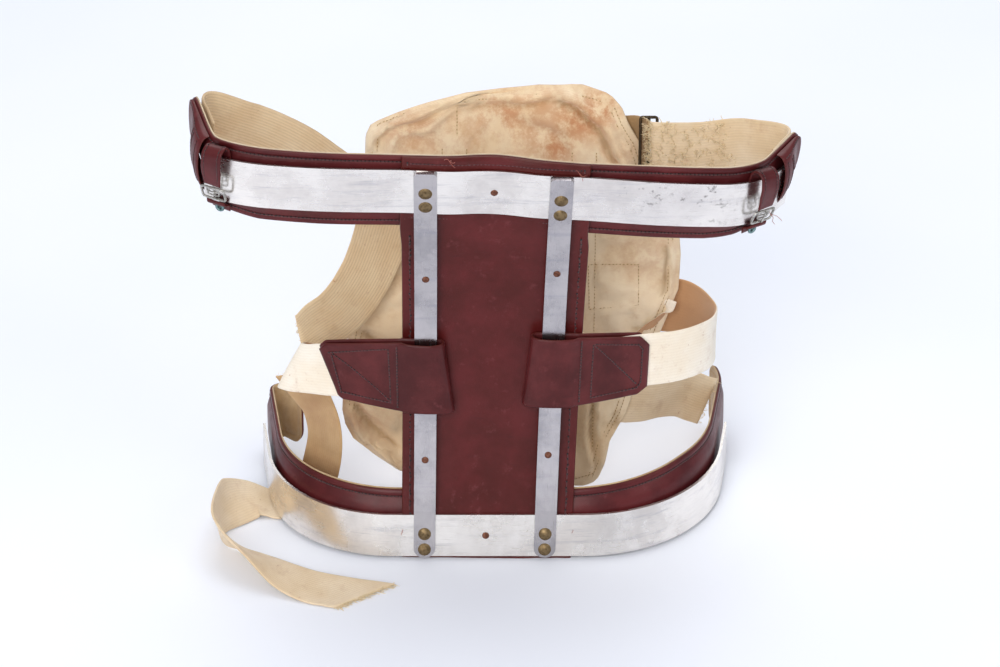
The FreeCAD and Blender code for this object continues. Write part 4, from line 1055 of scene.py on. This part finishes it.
def flap_stitches(side, sign):
    """Rows of thread on the flap: round its edge, across it and at the seam beside the upright."""

    def spot(x, rise):
        straight = (x - FLAP_FROM) / (FLAP_TIP - FLAP_FROM)
        low, top = flap_edges(side, straight)
        slant = FLAP_SLANT[side] * ((rise - low) / (top - low) - 0.45) * straight
        return arc_point(side, sign * (x + slant), lerp(474.3, FLAP_TIP_RHO, straight) - 1.6, rise)

    tip, (top, low) = FLAP_TIP, FLAP[side]
    seam = {"pitch": 2.6, "length": 1.8}
    rows = {
        "left": [([(26, 22), (tip - 6, top - 5), (tip - 5, -low + 6), (26, -22), (26, 22)], {}),
                 ([(26, -21), (tip - 7, top - 6)], {}), ([(20.5, 25.5), (20.5, -25.5)], seam)],
        "right": [([(29, 22), (tip - 8, top - 5), (tip - 5, top - 9), (tip - 5, -low + 9),
                    (tip - 8, -low + 5), (29, -22), (29, 22)], {}),
                  ([(30, 21), (tip - 7, -low + 7)], {}), ([(20.5, 26), (20.5, -26)], seam)],
    }
    out = (spot(40, 0) - arc_point(side, sign * 40, 500, 0)).normalized()
    for corners, how in rows[side]:
        stitches([(p, out) for p in walk(corners, spot)], THREADS[f"{side}_loop"], **how)


# ---------------------------------------------------------------- apron

# The apron's outline, as height along it and x at its left and right edge
APRON_LEFT = [(3, -22), (8, -45), (17, -66), (28, -84), (42, -101), (54, -107), (66, -109), (110, -106),
              (134, -101), (160, -94), (207, -85), (262, -88), (281, -87), (289, -83), (298, -62),
              (305, -42), (311, -22), (314, 4), (318, 40)]
APRON_RIGHT = [(3, 76), (5, 83), (10, 88), (25, 93), (40, 96), (62, 108), (79, 113), (110, 126), (138, 137),
               (162, 146), (189, 147), (201, 146), (230, 133), (258, 121), (274, 115), (289, 106),
               (301, 101), (311, 92), (318, 72)]
APRON_FOOT, APRON_TOP = 3, 318
STAYS = (-22.0, 74.0)
CLOTH_REACH = 5.5  # how far the simulation may move a point
LEAST_THICK = 1.3
FOLD_GAIN = 2.3
CLOTH = {"quality": 4, "mass": 0.25, "tension_stiffness": 18, "compression_stiffness": 18,
         "shear_stiffness": 6, "bending_stiffness": 0.35, "shrink_min": -0.055,
         "vertex_group_mass": "held", "use_pressure": True, "uniform_pressure_force": 0.6}
APRON_UP = Vector((0, sin(10), cos(10)))
APRON_OUT = Vector((0, -cos(10), sin(10)))

# Folds of the canvas: (rise, half width, points as x and z)
FOLDS = [
    (3.2, 4.5, [(-86, 268), (-82, 280), (-60, 291), (-43, 298), (-23, 309)]),
    (-2.2, 3.0, [(-80, 270), (-77, 279), (-58, 287), (-40, 294), (-23, 304)]),
    (2.6, 3.5, [(-71, 262), (-64, 281), (-40, 287), (-22, 304)]),
    (2.0, 3.4, [(-26, 308), (-6, 306), (30, 307), (54, 313)]),
    (-1.6, 2.4, [(-24, 303), (-6, 301), (30, 302), (52, 307)]),
    (3.0, 4.0, [(52, 314), (70, 306), (82, 294), (91, 288), (97, 270), (109, 252)]),
    (-2.4, 2.6, [(50, 308), (66, 301), (77, 291), (86, 283), (92, 268), (104, 250)]),
    (2.0, 5.0, [(98, 262), (110, 236), (130, 214)]),
    (-1.8, 3.0, [(84, 250), (92, 225), (96, 205)]),
    (2.4, 3.0, [(139, 200), (141, 178), (138, 154)]),
    (-2.0, 2.2, [(134, 198), (136, 178), (133, 156)]),
    (3.0, 3.6, [(78, 76), (77, 47), (83, 16)]),
    (-2.2, 2.4, [(83, 76), (81, 48), (86, 17)]),
    (2.8, 3.0, [(87, 76), (87, 54), (91, 37), (90, 16)]),
    (-1.6, 2.4, [(100, 66), (101, 50)]),
    (3.4, 4.5, [(-107, 70), (-92, 46), (-72, 26), (-60, 16)]),
    (-2.4, 3.0, [(-100, 74), (-86, 52), (-66, 32)]),
    (3.0, 4.0, [(-101, 96), (-86, 70), (-66, 50)]),
    (2.2, 4.0, [(-98, 120), (-80, 104), (-66, 76)]),
    (-1.8, 3.0, [(-94, 132), (-78, 114), (-64, 92)]),
    (2.4, 4.0, [(-92, 168), (-84, 190), (-80, 214)]),
    (1.6, 3.0, [(110, 150), (122, 128), (110, 96)]),
]


def fold_height(x, z):
    """How far the folds lift the canvas at a place."""
    total = 0.0
    for rise, half, points in FOLDS:
        best, share = 1e9, 0.0
        for k, ((x0, z0), (x1, z1)) in enumerate(zip(points, points[1:])):
            dx, dz = x1 - x0, z1 - z0
            t = min(max(((x - x0) * dx + (z - z0) * dz) / (dx * dx + dz * dz), 0), 1)
            away = math.dist((x, z), (x0 + dx * t, z0 + dz * t))
            if away < best:
                best, share = away, (k + t) / (len(points) - 1)
        if best < half * 2.5:
            fade = ease(min(share, 1 - share) / 0.15 + 0.25)
            total += rise * math.exp(-(best / half) ** 2) * fade
    return total


def apron_point(x, z, depth):
    v = (z - 1.2) / cos(10)
    return Vector((x, 93, 1.2)) + APRON_UP * v - APRON_OUT * depth


def apron():
    """Two canvas faces over a soft core, wrinkled by a cloth simulation between their seams."""
    rows = [3.0, 4.2] + [6 + 3.0 * k for k in range(104)] + [316.6, APRON_TOP]
    shares = [0, 0.006, 0.015] + [k / 82 for k in range(2, 81)] + [0.985, 0.994, 1]
    pins = []

    def canvas_at(z, share):
        left, right = table(z, APRON_LEFT), table(z, APRON_RIGHT)
        x = lerp(left, right, share)
        wavy = 1.3 * noise.noise(Vector((x / 18, z / 18, 0.7)))
        edge = min(share, 1 - share) * (right - left)
        edge = min(edge, (APRON_TOP - z) * 0.9, (z - APRON_FOOT) * 0.9)
        thick = 0.75 + 2.6 * ease(edge / 12)
        channel = min(abs(x - stay) for stay in STAYS)
        if 7 < channel < 10.5 and 30 < z < 268:
            thick -= 0.7
        pins.append(1.0 if edge < 7 or channel < 11 else 0.0)
        return [apron_point(x, z, 3.2 + side * thick) + APRON_OUT * wavy * 0.5 for side in (-1, 1)]

    mesh = shell(*grids(rows, shares, canvas_at), 0.3)
    count = len(rows) * len(shares)
    piece = mesh.build("apron_canvas", CANVAS, slot="canvas",
                       replaces=["apron_front_canvas", "apron_back_canvas", "apron_core"])
    rest = [v.co.copy() for v in piece.data.vertices]
    crumple(piece, pins + pins, count)
    fold_dirt_and_shade = piece.data.attributes.new("crease", "FLOAT", "POINT")
    points = piece.data.vertices
    for index in range(count):
        front, back = points[index], points[index + count]
        short = LEAST_THICK - (front.co - back.co).dot(APRON_OUT) / MM
        if short > 0:
            front.co += APRON_OUT * (short / 2 * MM)
            back.co -= APRON_OUT * (short / 2 * MM)
    for index, vertex in enumerate(points):
        move = vertex.co - rest[index]
        if move.length > CLOTH_REACH * MM:
            move *= CLOTH_REACH * MM / move.length
        x, z = rest[index].x / MM, rest[index].z / MM
        broad = 2.4 * noise.noise(Vector((x / 40, z / 52, 4.4)))
        broad += 1.3 * noise.noise(Vector((x / 14, z / 22, 9)))
        left, right = table(z, APRON_LEFT), table(z, APRON_RIGHT)
        inside = ease(min(x - left, right - x, APRON_TOP - z, z - APRON_FOOT) / 14 + 0.15)
        fold = fold_height(x, z)
        # the crease value darkens the canvas in the fold valleys: partly dirt, partly painted shade
        fold_dirt_and_shade.data[index].value = min(max(-fold - 0.2, 0) / 1.8, 1)
        lift = FOLD_GAIN * fold + broad * inside
        vertex.co = rest[index] + move + APRON_OUT * (lift * MM)
        vertex.co.z = max(vertex.co.z, 1.0 * MM)
    apron_trim(piece.data)


def crumple(piece, pins, count):
    """Twenty steps of cloth with slack fabric, held at the seams; the result is kept in the mesh."""
    group = piece.vertex_groups.new(name="held")
    for index in range(len(piece.data.vertices)):
        group.add([index], pins[index] if index < 2 * count else 1.0, "REPLACE")
    cloth = piece.modifiers.new("cloth", "CLOTH")
    for name, value in CLOTH.items():
        setattr(cloth.settings, name, value)
    cloth.settings.effector_weights.gravity = 0
    cloth.collision_settings.use_collision = False
    scene = bpy.context.scene
    for step in range(1, 21):
        scene.frame_set(step)
    shown = piece.evaluated_get(bpy.context.evaluated_depsgraph_get())
    moved = [v.co.copy() for v in shown.data.vertices]
    piece.modifiers.remove(cloth)
    scene.frame_set(1)
    for vertex, co in zip(piece.data.vertices, moved):
        vertex.co = co


def apron_trim(surface):
    """Seams and hems laid on the canvas, and the folded tape at its right side."""
    tree = KDTree(len(surface.vertices))
    for index, vertex in enumerate(surface.vertices):
        if vertex.normal.dot(APRON_OUT) > 0.2:
            tree.insert(vertex.co, index)
    tree.balance()

    def on_top(x, z, lift=0.1):
        """The place and normal of the canvas front there."""
        guess = apron_point(x, z, 0) * MM
        found = tree.find_n(guess, 4)
        weights = [1 / (item[2] + 1e-5) for item in found]
        total = sum(weights)
        depth = sum((item[0] - guess).dot(APRON_OUT) * w for item, w in zip(found, weights)) / total
        normal = sum((surface.vertices[item[1]].normal * w for item, w in zip(found, weights)), Vector())
        return (guess + APRON_OUT * depth) / MM + APRON_OUT * lift, normal.normalized()

    right_hem = [(x - 5.0, z) for z, x in APRON_RIGHT[2:-2]]
    left_hem = [(x + 5.0, z) for z, x in APRON_LEFT[2:-4]]
    seams = [right_hem, [(x - 3.5, z) for x, z in right_hem],
             left_hem, [(x + 3.5, z - 1.5) for x, z in left_hem],
             [(-60, 292), (-42, 299), (-22, 306), (2, 308), (38, 312), (66, 312), (86, 306)]]
    seams += [[(stay + side, z) for z in (34, 150, 270)] for stay in STAYS for side in (-9.0, 9.0)]
    seams += [[(-20, 280), (-20, 308)], [(78, 182), (116, 182), (116, 151), (79, 147), (78, 182)],
              [(-18, 8), (30, 7), (66, 8), (84, 14)]]
    for corners in seams:
        stitches(walk(corners, on_top), CREAM, length=1.9, radius=0.26)
    stations = [(on_top(x, z, 1.0)[0], (0.55, 0, 0.8))
                for x, z in ((141, 154), (138, 146), (130, 138), (118, 129), (110, 124))]
    tape, _ = strap_mesh(stations, 9, 1.0, spacing=1.5, wobble=0.5, seed=12)
    tape.build("apron_tape", WEB_PALE, slot="canvas")


# ---------------------------------------------------------------- fittings at the band's ends

FITTING = {"left": -192.0, "right": 186.0}  # each fitting's distance along the upper band
# Paths out of the band's face and up it
RETAINER = [(-3.9, 26), (-3.9, 39), (-2.2, 45), (2.4, 48), (7.0, 45.5), (9.4, 38), (9.2, 28), (8.0, 17)]
TAB = [(-3.4, -9.0), (-3.4, -5.5), (1.0, -3.0), (3.6, -1.2), (4.2, 1.2)]
POCKETS = {"left": (-209.0, -255.5), "right": (213.0, 249.5)}
POCKET_STITCHES = {"pitch": 2.8, "length": 2.0, "radius": 0.3}
# Each buckle's hinge point, the way it lies and the way its bar runs
BUCKLES = {
    "left": ((-185.238, 15.092, 292.616), (-0.0566, -0.4357, 0.8983), (-0.8973, 0.4383, 0.0512)),
    "right": ((192.9, 23.545, 270.811), (0.2081, -0.4135, 0.8864), (0.8049, 0.5916, -0.0471)),
}


def leather_strip(path, s, width, name, node, tip=1.0):
    """A short leather strap over the upper band, narrowing to its tip's share of the width."""
    stations = [(strip("thoracic", s, out, up * cos(13)), strip_axes("thoracic", s)[1]) for out, up in path]

    def shape(share):
        return 1.0 if share < 0.75 else lerp(1.0, tip, ease((share - 0.75) / 0.25))

    mesh, rows = strap_mesh(stations, width, 1.8, spacing=1.4, wobble=0.25, cup=0.15, seed=s, shape=shape)
    mesh.build(name, LEATHER, slot="brown_leather", replaces=[node])
    return rows


def fittings():
    """Retaining straps, buckle tabs, pockets, buckles and eyelets at both ends of the upper band."""
    for side, s in FITTING.items():
        rows = leather_strip(RETAINER, s, 15, f"{side}_retainer", f"{side}_retaining_strap", 0.82)
        for offset in (-5.2, 5.2):
            path = [(p + a * offset + n * 1.0, n) for p, a, ahead, n in rows[3:-4]]
            sign = 1 if rows[len(rows) // 2][3].z > 0 else -1
            path = [(p + n * (sign - 1), n * sign) for p, n in path]
            stitches(path, THREADS["frame"], pitch=2.6, length=1.8, radius=0.28)
        leather_strip(TAB, s, 14, f"{side}_tab", f"{side}_buckle_tab")
        pocket(side)
        buckle(side)
    rings = Mesh()
    for side, s in FITTING.items():
        out = strip_axes("thoracic", s)[0]
        origin = strip("thoracic", s, -0.9, -7.0 * cos(13))
        lathe([(1.75, -2.6), (2.1, -2.6), (2.1, -0.4), (3.5, -0.4), (3.6, 0.0), (3.2, 0.75), (2.5, 0.95),
               (1.9, 0.6), (1.6, 0.0), (1.6, -2.6)], origin, out, into=rings)
    rings.build("tab_rings", RING_METAL, slot="eyelet_metal", replaces=["tab_eyelets"])


def pocket(side):
    """The leather pocket on the pad's end, which the end of the band slides into."""
    start, end = POCKETS[side]

    def spot(share, level, lift=0.0):
        s = lerp(start, end, share)
        low, high = pad_span("thoracic", s)
        full = math.sqrt(max(1 - level * level, 0)) if abs(level) < 1 else 0.0
        swell = lerp(9.6, 1.6, ease((share - 0.15) / 0.75)) * full ** 0.8
        up = lerp(low + 1.2, high - 1.2, level / 2 + 0.5)
        return strip("thoracic", s, -6.6 + swell + lift, up)

    def layer(k, j):
        half = 0.45 if abs(j) == 14 or k in (0, 24) else 0.9
        return [spot(k / 24, sin(90 * j / 14), lift) for lift in (half, -half)]

    mesh = shell(*grids(range(25), range(-14, 15), layer))
    mesh.build(f"{side}_pocket", LEATHER, slot="brown_leather", replaces=[f"{side}_end_pocket"])
    for level in (-0.88, 0.88):
        path = [(spot(0.05 + 0.88 * k / 14, level, 0.95),
                 strip_axes("thoracic", lerp(start, end, k / 14))[0]) for k in range(15)]
        stitches(path, THREADS["frame"], **POCKET_STITCHES)
    for share in (0.1, 0.3, 0.38):
        path = [(spot(share, level / 10, 0.95), strip_axes("thoracic", lerp(start, end, share))[0])
                for level in range(-8, 9)]
        stitches(path, THREADS["frame"], **POCKET_STITCHES)


def rounded_box(put, half, low, high, corner):
    """A closed path round a rectangle; put turns its own x and y into a place."""
    points = []
    for cx, cy, start in ((half, low, 270), (half, high, 0), (-half, high, 90), (-half, low, 180)):
        bx, by = cx - math.copysign(corner, cx), cy - (corner if cy == high else -corner)
        points += [put(bx + corner * cos(start + 18 * k), by + corner * sin(start + 18 * k))
                   for k in range(6)]
    return points


def buckle(side):
    """A wire frame on its lower bar, a small tongue plate and a prong."""
    origin, lie, ahead = (Vector(v) for v in BUCKLES[side])
    lie, ahead = lie.normalized(), ahead.normalized()
    face = ahead.cross(lie).normalized()

    def put(x, y, z=0.0):
        return origin + ahead * x + lie * y + face * z

    wire = tube(rounded_box(put, 9.1, 0.9, 13.1, 2.4), 0.9, closed=True, sides=10)
    wire.build(f"{side}_buckle_wire", NICKEL, body=f"{side}_buckle", slot="nickel",
               replaces=[f"{side}_buckle_frame"])
    plate = Mesh()
    tube(rounded_box(put, 4.5, 4.9, 12.0, 1.2), 0.62, closed=True, sides=8, into=plate)
    tube([put(-4.2, 8.4), put(4.2, 8.4)], 0.5, sides=8, into=plate)
    tube([put(0, 0.9, 1.0), put(0, 1.9, 1.5), put(0, 6, 1.4), put(0, 10.5, 1.3), put(0, 13.8, 1.35)], 0.65,
         sides=8, into=plate, taper=(0.9, 1, 1, 0.95, 0.6))
    for x in (-3.0, 3.0):
        tube([put(x, 8.4), put(x * 1.05, 10.4, 0.2), put(x * 1.05, 12.0, 0.2)], 0.5, sides=6, into=plate)
    plate.build(f"{side}_buckle_plate", NICKEL, body=f"{side}_buckle", slot="nickel",
                replaces=[f"{side}_buckle_tongue"])


def slide():
    """The flat slide at the apron's webbing tab."""
    centre = Vector((121, 138, 274))

    def put(x, y):
        return centre + Vector((1, 0, 0)) * x + APRON_UP * y

    mesh = tube(rounded_box(put, 6.1, -22.1, 22.1, 1.6), 1.15, closed=True, sides=10)
    tube([put(0, y) for y in (-21.5, -7, 7, 21.5)], 1.3, sides=10, into=mesh)
    mesh.build("slide_frame", BRONZED, body="slide", slot="bronzed_steel", replaces=["slide_buckle"])


def copper_rivets():
    """Small copper rivets through the uprights and the bands into the panel."""
    mesh = Mesh()
    dome = [(2.55, -8.4), (2.6, -8.2), (2.6, 0.0), (2.62, 0.15), (2.35, 0.5), (1.7, 0.72), (0.8, 0.8),
            (0.1, 0.78)]
    for side, heights in (("left", (77.0, 226.0)), ("right", (81.0, 231.0))):
        for height in heights:
            rise = math.degrees(math.asin((height - LUMBAR_CENTRE[1]) / LUMBAR_RADIUS))
            distance = 36 + LUMBAR_RADIUS * math.radians(rise + 16)
            origin = bar_point(side, distance, 0, 3.2)
            out = (bar_point(side, distance, 0, 4.2) - origin).normalized()
            lathe(dome, origin, out, into=mesh)
    short = [(radius, max(height, -4.1)) for radius, height in dome]
    for band, s, depth, up in (("pelvic", 1.0, -0.1, 15.4), ("thoracic", 0.0, 0.0, 18.5)):
        slope, place = BANDS[band][1:3]
        out = (place.to_3x3() @ Vector((0, -cos(slope), sin(slope)))).normalized()
        lathe(short, strip(band, s, depth, up), out, into=mesh)
    mesh.build("panel_rivet_heads", COPPER, slot="copper", replaces=["panel_rivets"])


# ---------------------------------------------------------------- stage, light and camera


def studio():
    """A pale floor, a pale world, three soft lamps and the camera."""
    scene = bpy.context.scene
    floor_mesh = bpy.data.meshes.new("floor")
    floor_mesh.from_pydata([(-6, -6, 0), (6, -6, 0), (6, 6, 0), (-6, 6, 0)], [], [(0, 1, 2, 3)])
    floor = bpy.data.objects.new("floor", floor_mesh)
    scene.collection.objects.link(floor)
    paint = Paint("floor_paper", Roughness=0.75, Specular_IOR_Level=0.25)
    tone = paint.mix(paint.span(paint.noise(2.2, 2, 0.5), 0.3, 0.7), rgb("F1F4FC"), rgb("EDF1FB"))
    floor_mesh.materials.append(paint.done(tone))
    world = bpy.data.worlds.new("studio")
    world.use_nodes = True
    scene.world = world
    tree = world.node_tree
    background = tree.nodes["Background"]
    spot = tree.nodes.new("ShaderNodeTexCoord")
    split = tree.nodes.new("ShaderNodeSeparateXYZ")
    ramp = tree.nodes.new("ShaderNodeMapRange")
    ramp.interpolation_type = "SMOOTHSTEP"
    ramp.inputs["From Min"].default_value, ramp.inputs["From Max"].default_value = -0.02, 0.55
    ramp.inputs["To Min"].default_value, ramp.inputs["To Max"].default_value = 0.28, 0.58
    tree.links.new(spot.outputs["Generated"], split.inputs[0])
    tree.links.new(split.outputs[2], ramp.inputs["Value"])
    tree.links.new(ramp.outputs[0], background.inputs["Strength"])
    background.inputs["Color"].default_value = (0.945, 0.96, 1.0, 1)
    lamps = {
        "key": ((-0.6, -1.95, 1.25), 1.7, 34.0, (1.0, 0.985, 0.96)),
        "fill": ((1.6, -0.9, 1.1), 1.2, 5.0, (0.98, 0.99, 1.0)),
        "top": ((0.2, 1.7, 2.7), 2.6, 45.0, (0.98, 0.99, 1.0)),
    }
    for name, (place, size, power, colour) in lamps.items():
        light = bpy.data.lights.new(name, "AREA")
        light.shape, light.size, light.energy, light.color = "DISK", size, power, colour
        lamp = bpy.data.objects.new(name, light)
        lamp.location = place
        lamp.rotation_euler = (Vector((0, 0.05, 0.12)) - Vector(place)).to_track_quat("-Z", "Y").to_euler()
        scene.collection.objects.link(lamp)
    camera = bpy.data.cameras.new("camera")
    camera.lens, camera.sensor_width, camera.clip_end = 90.0, 36.0, 50
    eye = bpy.data.objects.new("camera", camera)
    eye.location = (0.01168, -1.5268, 1.0758)
    eye.rotation_euler = Euler((math.radians(60), 0, 0))
    scene.collection.objects.link(eye)
    scene.camera = eye
    scene.view_settings.view_transform = "Standard"


# ---------------------------------------------------------------- the whole brace


def dress(node, material, slot):
    """A CAD node that keeps its shape and gets its material."""
    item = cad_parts[node]
    item.data.materials.clear()
    item.data.materials.append(material)


# Frayed ends: strap, whether its far end, how many threads, their length, curl and lift
FRAYS = (("loose_strap_tail", True, 150, 7, 0.25, 0.0), ("upper_right_strap", True, 260, 11, 0.6, 0.1),
         ("apron_webbing_tab", False, 30, 4, 0.4, 0.0), ("lower_right_strap", False, 40, 6, 0.5, 0.0),
         ("lower_left_strap", False, 30, 6, 0.5, 0.0), ("left_apron_strap", False, 40, 4, 0.4, 0.0))
NAP_COUNT = 420
NAP_ROWS = 26  # the worn nap's samples at the upper right strap's end
# Thread ends: two numbers for the place, the heading and the length
HEAD_ENDS = ((-36, 46, (0.5, -0.2, 0.9), 12), (-31, 45, (-0.6, -0.4, 0.8), 9),
             (55, 42, (0.8, -0.5, -0.4), 10), (57, 40, (0.3, -0.6, -0.9), 8))
PANEL_ENDS = ((30, -58, (-0.4, -0.6, -0.6), 12), (24, -54, (0.7, -0.5, -0.5), 12),
              (32, -50, (0.4, -0.5, 0.7), 9), (36, 57, (0.3, -0.8, -0.5), 14),
              (22, 59, (0.2, -0.7, -0.8), 12), (28, 60, (0.7, -0.4, 0.5), 8))
BUCKLE_ENDS = (((6, -1, 8), (0.9, -0.3, -0.3), 14), ((7, -1, 6), (0.8, -0.6, 0.2), 11))


def loose_threads(ends):
    """Frayed strap ends, the worn nap beside the slide, and thread ends that stick out of the seams."""
    web, red = Mesh(), Mesh()
    for name, at_end, count, length, curl, lift in FRAYS:
        fray(ends[name], STRAPS[name][0], at_end, count, length, curl, web, lift,
             TAIL_SKEW if "tail" in name else 0.0)
    rows = ends["upper_right_strap"]
    for _ in range(NAP_COUNT):
        point, across, _, face = rows[random.randrange(len(rows) - NAP_ROWS, len(rows))]
        side = random.choice((-1, 1))
        start = point + across * random.uniform(-20, 20) + face * side * 0.8
        hair(start, face * side + across * random.uniform(-0.6, 0.6), random.uniform(4, 9), 1.0, 0.28, web)
    web.build("loose_webbing_threads", WEB_THREAD, slot="webbing")
    tips = [(strip("thoracic", s, -2.2, up), *rest) for s, up, *rest in HEAD_ENDS]
    tips += [(panel_point(distance, x, 0.4), *rest) for distance, x, *rest in PANEL_ENDS]
    tips += [(Vector(BUCKLES["right"][0]) + Vector(place), *rest) for place, *rest in BUCKLE_ENDS]
    for start, heading, length in tips:
        hair(start, Vector(heading), length, 0.55, 0.2, red, steps=12)
    red.build("thread_ends", RED_THREAD, slot="brown_leather")


def main():
    random.seed(11)
    studio()
    for node, material, slot in (("pelvic_band", ALUMINIUM_BAND, "aluminium"),
                                 ("thoracic_band", ALUMINIUM_BAND, "aluminium"),
                                 ("left_upright", ALUMINIUM_BAR_DIMMED, "aluminium"),
                                 ("right_upright", ALUMINIUM_BAR_DIMMED, "aluminium"),
                                 ("frame_rivets", BRASS, "brass"), ("apron_stays", STEEL, "spring_steel")):
        dress(node, material, slot)
    pad("pelvic", SUEDE)
    pad("thoracic", PALE_SUEDE)
    panel()
    ends = straps()
    for side in SIDES:
        loop(side)
    apron()
    fittings()
    slide()
    copper_rivets()
    loose_threads(ends)
    for body, mesh in THREADS.items():
        mesh.build(f"{body}_stitching", DARK_THREAD, body=body, slot="brown_leather")
    CREAM.build("canvas_stitching", CREAM_THREAD, slot="canvas")


main()
